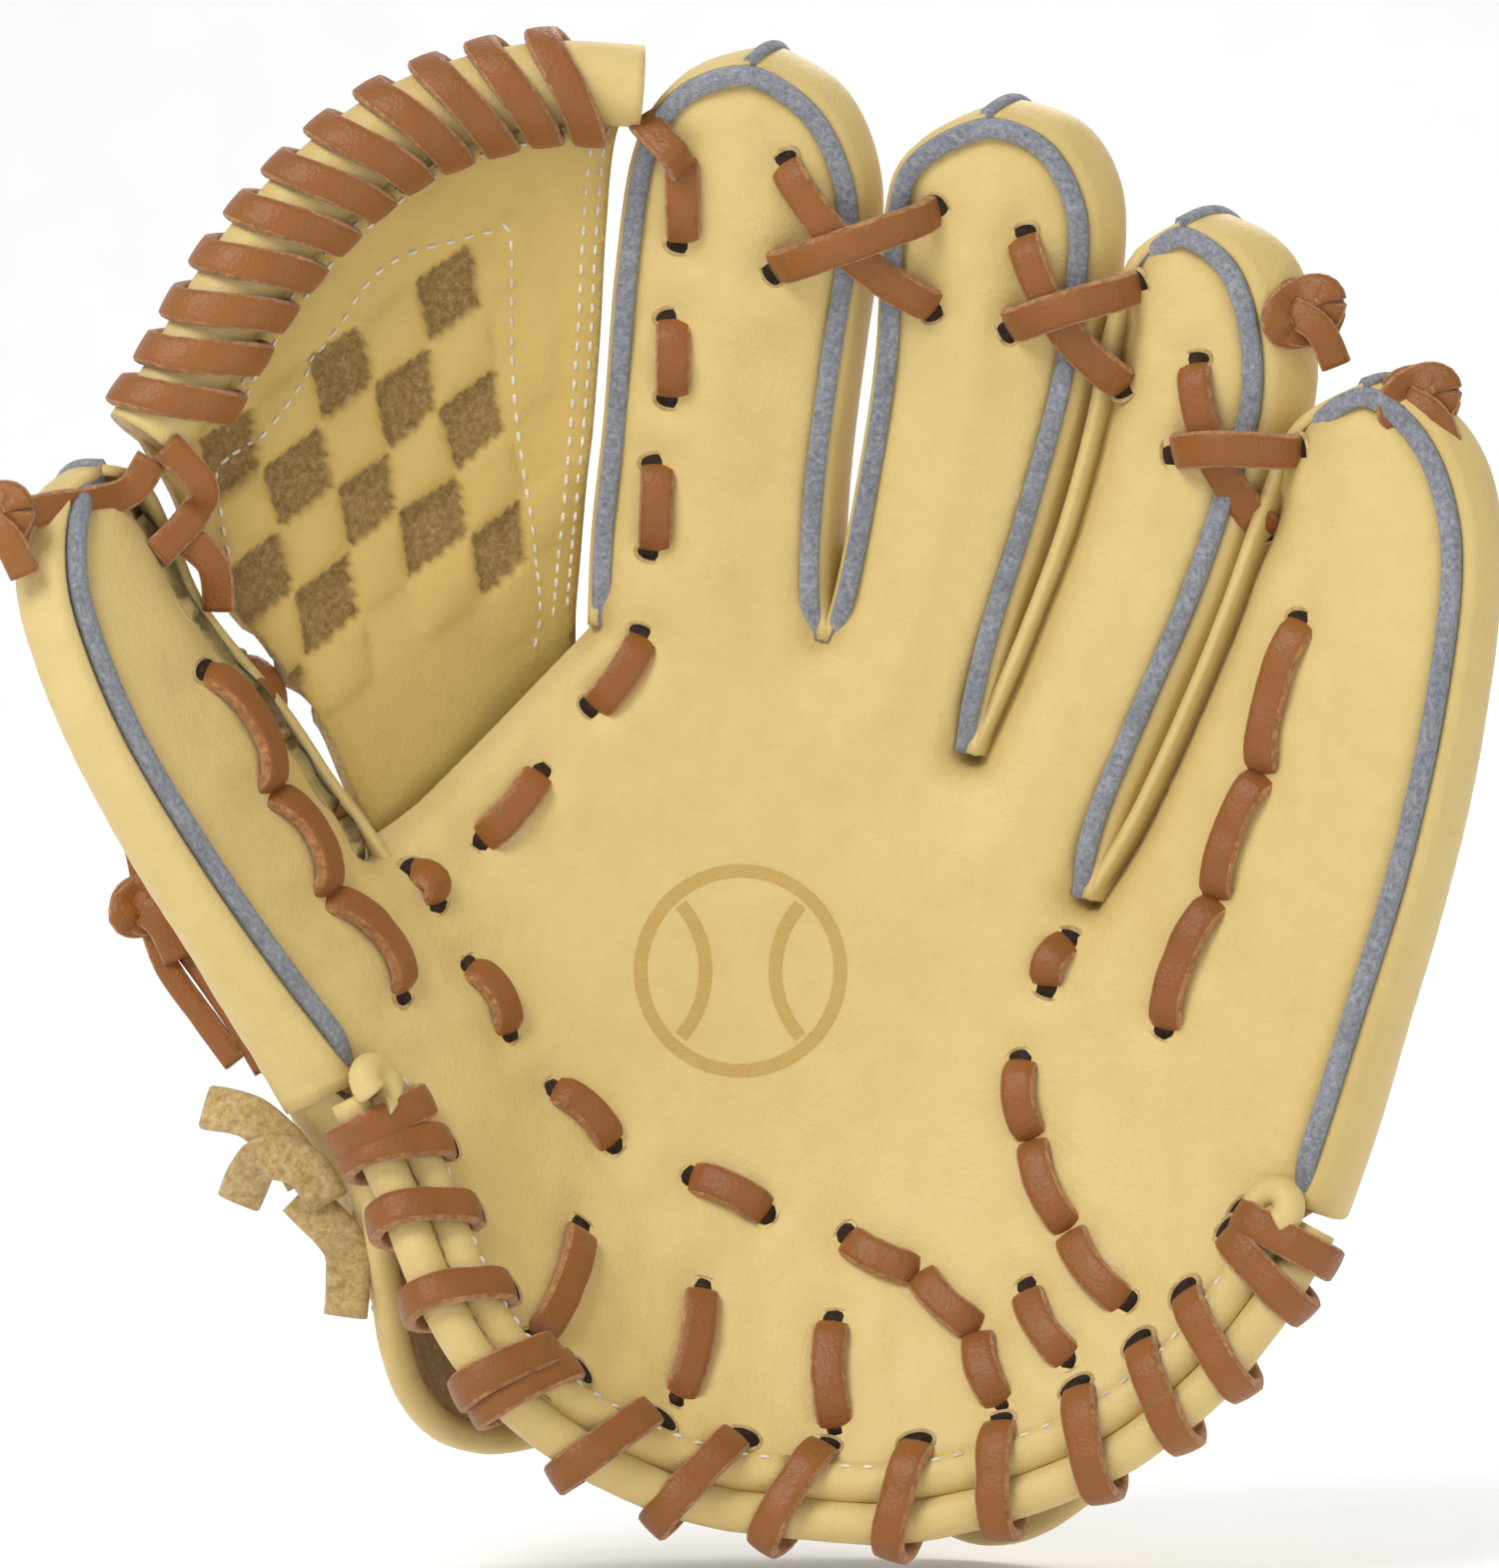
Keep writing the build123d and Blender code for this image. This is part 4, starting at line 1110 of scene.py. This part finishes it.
CORES = {"index": (INDEX_L, INDEX_R, 15.0, "palm"), "middle": (MIDDLE_L, MIDDLE_R, 13.5, "palm"),
         "ring": (RING_L, RING_R, 12.0, "palm"),
         "pinky": (PINKY_L, PINKY_R, 15.0, "palm/pinky")}
for name, (l, r, reach, body) in CORES.items():
    inner_layer(f"{name}_felt_pad", finger_core(l, r, reach, 7.5), 7.2, 2.0, FELT, body, f"{name}_pad")
inner_layer("pinky_insert", finger_core(PINKY_L, PINKY_R, 15.0, 9.0), 9.6, 1.0, PLASTIC, "palm/pinky",
            "pinky_stiffener")
THUMB_CORE = [(-60.0, 90.0), (-76.0, 106.0), (-89.0, 130.0), (-96.0, 150.0), (-100.0, 166.0),
              (-97.0, 171.0),
              (-92.0, 160.0), (-86.0, 148.0), (-78.0, 136.0), (-70.0, 125.0), (-60.0, 112.0), (-53.0, 98.0)]
thumb_loop = through(THUMB_CORE + THUMB_CORE[:1], 2.0)[:-1]
inner_layer("thumb_felt_pad", thumb_loop, 7.2, 2.0, FELT, "thumb", "thumb_pad")
inner_layer("thumb_insert", thumb_loop, 9.6, 1.0, PLASTIC, "thumb", "thumb_stiffener")
PALM_CORE = [(-22.0, 128.0), (-17.0, 140.0), (12.0, 142.0), (34.0, 126.0), (46.0, 106.0), (46.0, 46.0),
             (24.0, 34.0), (-4.0, 36.0), (-14.0, 48.0)]
inner_layer("palm_felt_pad", [Vector(p) for p in PALM_CORE], 5.4, 2.0, FELT, "palm", "palm_pad")
inner_layer("palm_hand_lining", [Vector(p) for p in PALM_CORE], 7.8, 1.4, LINING, "palm", "palm_lining")


# ------------------------------------------------------------------ back of the hand and wrist
def knuckles(x, z):
    """The hand's back swells over each finger bone and dips between them."""
    rib = sum(math.exp(-((x - c - 0.16 * (z - 100)) / 8.5) ** 2) for c in (-17.0, 8.0, 29.0, 49.0))
    return 2.6 - 3.4 * rib * smooth(70, 125, z) + 0.5 * noise.noise(Vector((x, 40, z)) * 0.06)


def build_hand_back():
    """The leather over the back of the hand, with a seam between the bones."""
    outline = [(-30.0, 62.0), (-37.0, 92.0), (-38.0, 118.0), (-27.0, 146.0), (-22.0, 172.0),
               (14.0, 172.0), (32.0, 166.0), (52.0, 158.0), (66.0, 140.0),
               (66.0, 112.0), (62.0, 84.0), (58.0, 62.0), (40.0, 56.0), (0.0, 54.0)]
    loop = through(outline + outline[:1], 2.0)[:-1]
    flat, tris = triangulate([loop], [], 2.2)
    obj = sheet_piece("hand_back_leather", flat, tris, knuckles, hand_back, [BLONDE, LEATHER_EDGE],
                      thickness=-2.4)
    attach(obj, "palm", "hand_back_panel")
    seams = [[(c + 0.16 * (z - 100), z) for z in range(72, 150, 6)] for c in (-4.5, 18.5, 39.0)]
    runs = [[at(p.x, p.y, knuckles(p.x, p.y) + 0.1, hand_back) for p in through(line, 0.8)]
            for line in seams]
    ups = [[back_normal(p.x, p.y, hand_back) for p in through(line, 0.8)] for line in seams]
    attach(stitches("hand_back_thread", runs, ups), "palm")


build_hand_back()
CUFF_LOW = [(-62.0, -30.0, 74.0), (-61.0, -22.0, 50.0), (-57.0, -8.0, 27.0), (-45.0, 12.0, 17.5),
            (-25.0, 27.0, 20.0), (2.0, 33.0, 21.0), (26.0, 27.0, 9.0), (42.0, 16.0, 1.5),
            (57.0, 2.0, 8.0), (74.0, -14.0, 28.0), (92.0, -27.0, 54.0)]
CUFF_HIGH = [(-92.0, -36.0, 103.0), (-86.0, -20.0, 96.0), (-72.0, 2.0, 90.0), (-52.0, 22.0, 86.0),
             (-28.0, 34.0, 82.0), (6.0, 38.5, 80.0), (36.0, 35.0, 78.0), (60.0, 25.0, 78.0),
             (80.0, 8.0, 78.0), (94.0, -10.0, 80.0), (101.0, -26.0, 88.0)]


def cuff_point(u, v, lift=0.0):
    """A place on the wrist band: u runs round the back from the thumb, v up from its hem."""
    i = min(len(CUFF_ROWS[0]) - 1.001, u * (len(CUFF_ROWS[0]) - 1))
    j, f = int(i), i - int(i)
    low, high = (rows[j].lerp(rows[j + 1], f) for rows in CUFF_ROWS)
    p = low.lerp(high, v)
    out = Vector((p.x - 12.0, p.y + 45.0, 0.0)).normalized()
    wave = 0.8 * noise.noise(p * 0.045) + 0.3 * noise.noise(p * 0.12)
    return p + out * (3.0 * math.sin(math.pi * v) + wave + lift), out


def evenly(points, count):
    """Count + 1 places spread over a smooth curve through the points."""
    curve = through(points, 1.0)
    return [curve[round(k * (len(curve) - 1) / count)] for k in range(count + 1)]


CUFF_ROWS = [evenly(line, 120) for line in (CUFF_LOW, CUFF_HIGH)]


def build_cuff(name, first, last, body):
    """A stretch of the wrist band with its rolled hem and thread."""
    us = [first + (last - first) * i / 60 for i in range(61)]
    b, hem = Build(), Build()
    b.grid([[cuff_point(u, v / 18)[0] for v in range(19)] for u in us], mat=0)
    b.grid([[cuff_point(u, v / 18, -2.4)[0] for v in range(19)] for u in us[::-1]], mat=1)
    attach(b.object(name, [BLONDE, LINING]), body)
    outs = [cuff_point(u, 0.02)[1] for u in us]
    hem.sweep([cuff_point(u, 0.0, -1.2)[0] for u in us], round_profile(2.7, 18), outs)
    attach(hem.object(name + "_hem", [BLONDE]), body)
    run = resample([cuff_point(u, 0.11, 0.1)[0] for u in us], 0.8)
    near = [us[min(60, round(k * 60 / (len(run) - 1)))] for k in range(len(run))]
    attach(stitches(name + "_thread", [run], [[cuff_point(u, 0.1)[1] for u in near]]), body)


build_cuff("wrist_band_thumb_half", 0.0, 0.5, "palm/thumb")
build_cuff("wrist_band_pinky_half", 0.5, 1.0, "palm/pinky")


STRAP_HEIGHT, STRAP_HALF = 0.60, 0.17  # shares of the wrist band's height


def build_strap():
    """A pull strap over the wrist band with a rounded free end and a stitched border."""
    b, n = Build(), 50
    rows = []
    for i in range(n + 1):
        u = mix(0.26, 0.72, i / n)
        end = min(i / 5.0, 1.0) ** 0.5
        mid, half = STRAP_HEIGHT, STRAP_HALF * end
        edge = [(k, 2.6 + 1.6 * (1 - abs(k) ** 6)) for k in (-1, -0.96, -0.85, -0.5, 0, 0.5, 0.85, 0.96, 1)]
        ring = [cuff_point(u, mid + half * k, lift)[0] for k,
                lift in edge] + [cuff_point(u, mid + half * k, 2.2)[0] for k in (0.96, 0, -0.96)]
        rows.append(ring)
    b.grid(rows, closed=True, caps=True)
    # the strap uses the web's darkened leather, with its painted shade
    attach(b.object("wrist_pull_strap", [WEB_LEATHER_SHADED]), "wrist_strap", "wrist_strap")
    runs, ups = [], []
    for k in (-0.8, 0.8):
        line = [cuff_point(mix(0.275, 0.71, i / 160), STRAP_HEIGHT + STRAP_HALF * k, 4.15)
                for i in range(161)]
        runs.append([p for p, _ in line])
        ups.append([o for _, o in line])
    attach(stitches("wrist_strap_thread", runs, ups), "wrist_strap")


build_strap()


# ------------------------------------------------------------------ curled roll ends, free laces and knots
def curl_end(name, x, z, body, start, turn=1.0):
    """The end of the heel roll, turned in on itself like a snail."""
    n = -back_normal(x, z)
    side = Vector((1, 0, 0)) - n * n.x
    side.normalize()
    up = side.cross(n) if side.cross(n).z > 0 else n.cross(side)
    c = at(x, z, 0.4)
    path = []
    for i in range(33):
        a = start + turn * 1.7 * math.pi * i / 32
        r = 3.9 - 1.3 * i / 32
        path.append(c + (side * math.cos(a) + up * math.sin(a)) * r + n * (1.2 * i / 32))
    b = Build()
    b.sweep(path, round_profile(2.7, 18), [n] * len(path), cap_mat=1)
    attach(b.object(name, [BLONDE, LEATHER_EDGE]), body)


curl_end("thumb_corner_curl", -60.6, 79.6, "thumb", -1.2)
curl_end("pinky_corner_curl", 88.8, 58.8, "pinky", 4.2, -1.0)


def free_lace(name, lines, body, nodes=(), mats=None, width=5.4, thick=1.9):
    """Loose runs of lace given as (x, y, z) places."""
    b = Build()
    for k, line in enumerate(lines):
        path = through([Vector(p) for p in line], 1.0)
        ups = []
        for i in range(len(path)):
            t = heading(path, i)
            up = Vector((0.15 * math.sin(i * 0.12 + k), -1, 0.25 * math.cos(i * 0.09 + k)))
            ups.append((up - t * up.dot(t)).normalized())
        lace(b, path, ups, width=width, thick=thick, seed=k * 2.3)
    attach(b.object(name, mats or [LACE, LACE_EDGE]), body, *nodes)


def over_web(x, z, lift=0.0):
    """A place in front of the web's surface."""
    return tuple(at(x, z, -lift, web_forward))


def over_face(x, z, lift=0.0):
    """A place in front of the palm's surface."""
    return tuple(at(x, z, -lift))


free_lace("web_top_tie",
          [[over_web(-16.5, 241.5, 1.0), over_web(-13.0, 239.0, 6.0), over_face(-11.0, 236.0, 2.5),
            over_face(-9.9, 232.5, -1.0)]], "palm")
free_lace("thumb_web_tie",
          [[over_web(-97.5, 186.5, 5.0), over_web(-93.0, 180.0, 8.0), over_face(-92.5, 174.0, 2.0),
            over_face(-94.5, 168.5, -3.0)],
                            [over_web(-99.0, 184.0, 3.0), over_web(-103.0, 178.0, 2.0),
                             over_face(-108.0, 176.5, -6.0), over_face(-114.0, 175.0, -12.0)],
                            [over_face(-92.5, 171.5, -1.0), over_face(-89.0, 166.0, 1.5),
                             over_face(-85.5, 159.5, -2.0)]], "thumb", ("thumb_tip_lace",))


def knot(name, centre, body, mats=None, size=4.6):
    """A tight overhand knot with two short ends."""
    c = Vector(centre)
    loops = []
    for tilt in (0.0, 1.3):
        ring = []
        for i in range(15):
            a = 2 * math.pi * i / 14
            ring.append(tuple(c
                              + Vector((size * math.cos(a), -1.6 * math.sin(a * 2 + tilt) - 1.0 * tilt,
                                        size * 0.75 * math.sin(a) + 1.2 * tilt * math.cos(a)))))
        loops.append(ring)
    loops.append([tuple(c + Vector((-2, -1.0, 0))), tuple(c + Vector((2.5, -3.0, -3.0))),
                  tuple(c + Vector((5.5, -1.5, -9.0)))])
    free_lace(name, loops, body, mats=mats, width=5.2, thick=2.0)


knot("thumb_tip_knot", over_face(-113.5, 175.5, -11.0), "thumb")
knot("ring_tip_knot", over_face(90.5, 207.0, -9.0), "palm")
knot("pinky_tip_knot", over_face(108.5, 192.5, -9.0), "pinky")
free_lace("thumb_loose_lace",
          [[(-108.5, -16.0, 146.0), (-106.0, -15.0, 132.0), (-102.0, -14.0, 120.0), (-100.0, -14.0, 110.0)],
                               [(-100.0, -14.0, 110.0), (-97.0, -16.0, 100.0), (-90.0, -17.0, 90.0),
                                (-84.8, -18.0, 83.0)],
                               [(-99.0, -13.0, 109.0), (-91.0, -16.0, 99.0), (-84.0, -18.0, 89.0),
                                (-79.7, -18.0, 81.7)]], "thumb", width=4.2)
knot("thumb_loose_knot", (-100.0, -16.0, 109.5), "thumb", size=3.6)
free_lace("suede_tie",
          [[(-89.5, -20.0, 75.5), (-82.0, -24.0, 74.0), (-76.0, -26.0, 69.0), (-72.4, -26.0, 63.5)],
                        [(-84.0, -22.0, 60.0), (-80.0, -27.0, 67.0), (-73.0, -28.0, 66.0),
                         (-69.0, -26.0, 60.0)],
                        [(-74.0, -24.0, 61.0), (-66.5, -24.0, 53.0), (-65.8, -22.0, 46.0),
                         (-66.2, -21.0, 40.6)]], "thumb", mats=[LEATHER_EDGE, LEATHER_EDGE], width=7.5)


# ------------------------------------------------------------------ a plain stamp: a ball with two seams
def build_stamp():
    """Lines pressed flat on the palm: a circle and the two seams in it."""
    cx, cz, r = 0.0, 98.0, 17.0
    lines = [[(cx + r * math.cos(a), cz + r * math.sin(a)) for a in (math.pi * i / 48 for i in range(97))]]
    for sign in (-1, 1):
        lines.append([(cx + sign * (r * 1.35 - r * math.cos(a)), cz + r * math.sin(a))
                      for a in (mix(-0.72, 0.72, i / 30) for i in range(31))])
    b = Build()
    for line in lines:
        flat = [Vector(p) for p in line]
        rows = []
        for i, p in enumerate(flat):
            t = heading(flat, i)
            n = Vector((-t.y, t.x))
            rows.append([face_point((p + n * k).x, (p + n * k).y, 0.09) for k in (-1.1, -0.4, 0.4, 1.1)])
        b.grid(rows)
    attach(b.object("palm_ball_stamp", [STAMP]), "palm/thumb")


build_stamp()

# ------------------------------------------------------------------ pieces still shown from the CAD
PART_MATERIALS = {"stiffener": PLASTIC, "_pad": FELT, "lining": LINING, "lace": LACE}
for name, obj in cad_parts.items():
    if obj.hide_render:
        continue
    mat = next((m for word, m in PART_MATERIALS.items() if word in name), BLONDE)
    obj.data.materials.clear()
    obj.data.materials.append(mat)
    for poly in obj.data.polygons:
        poly.use_smooth = False

# ------------------------------------------------------------------ floor, light and camera
def build_stage(bottom):
    """A seamless pale sweep, a soft key from the upper left and a long lens in front."""
    profile = [(-2.5, bottom), (0.9, bottom)]
    profile += [(0.9 + 0.8 * math.sin(a), bottom + 0.8 - 0.8 * math.cos(a))
                for a in (math.pi / 2 * i / 16 for i in range(1, 17))]
    profile += [(1.7, 3.5)]
    verts = [Vector((x, y, z)) * 1000 for y, z in profile for x in (-4.0, 4.0)]
    faces = [(2 * i, 2 * i + 1, 2 * i + 3, 2 * i + 2) for i in range(len(profile) - 1)]
    paper, nt, b = material("studio_paper")
    grain = node(nt, "ShaderNodeTexNoise", {"Vector": coords(nt)}, Scale=40.0)
    nt.links.new(ramp_node(nt, grain.outputs["Fac"],
                           [(0.3, (0.90, 0.90, 0.90)), (0.7, (0.93, 0.93, 0.93))]), b.inputs["Base Color"])
    b.inputs["Roughness"].default_value = 0.9
    b.inputs["Emission Color"].default_value = (1, 1, 1, 1)
    b.inputs["Emission Strength"].default_value = 0.16
    floor = make("studio_floor", verts, faces, paper)
    world = bpy.data.worlds.new("studio")
    world.use_nodes = True
    world.node_tree.nodes["Background"].inputs[0].default_value = (1, 1, 1, 1)
    world.node_tree.nodes["Background"].inputs[1].default_value = 0.42
    bpy.context.scene.world = world
    stage = [floor]
    for name, loc, size, power in (("key", (-0.75, -1.0, 1.15), 0.7, 15.0),
                                   ("fill", (1.1, -1.3, 0.5), 1.3, 4.0),
                                   ("back", (0.4, 1.0, 1.2), 0.8, 8.0)):
        light = bpy.data.lights.new(name, "AREA")
        light.size, light.energy = size, power
        lamp = bpy.data.objects.new(name, light)
        lamp.location = loc
        lamp.rotation_euler = (Vector((0, 0, 0.13)) - Vector(loc)).to_track_quat("-Z", "Y").to_euler()
        bpy.context.scene.collection.objects.link(lamp)
        stage.append(lamp)
    camera = bpy.data.cameras.new("camera")
    camera.lens, camera.sensor_width = 193.0, 36.0
    eye = bpy.data.objects.new("camera", camera)
    eye.location = (0.0, -1.42, 0.1275)
    eye.rotation_euler = (math.pi / 2, 0, 0)
    bpy.context.scene.collection.objects.link(eye)
    bpy.context.scene.camera = eye
    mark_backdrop(*stage, eye)


build_stage(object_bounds()[0][2] - 0.0004)
bpy.context.scene.view_settings.view_transform = "Standard"
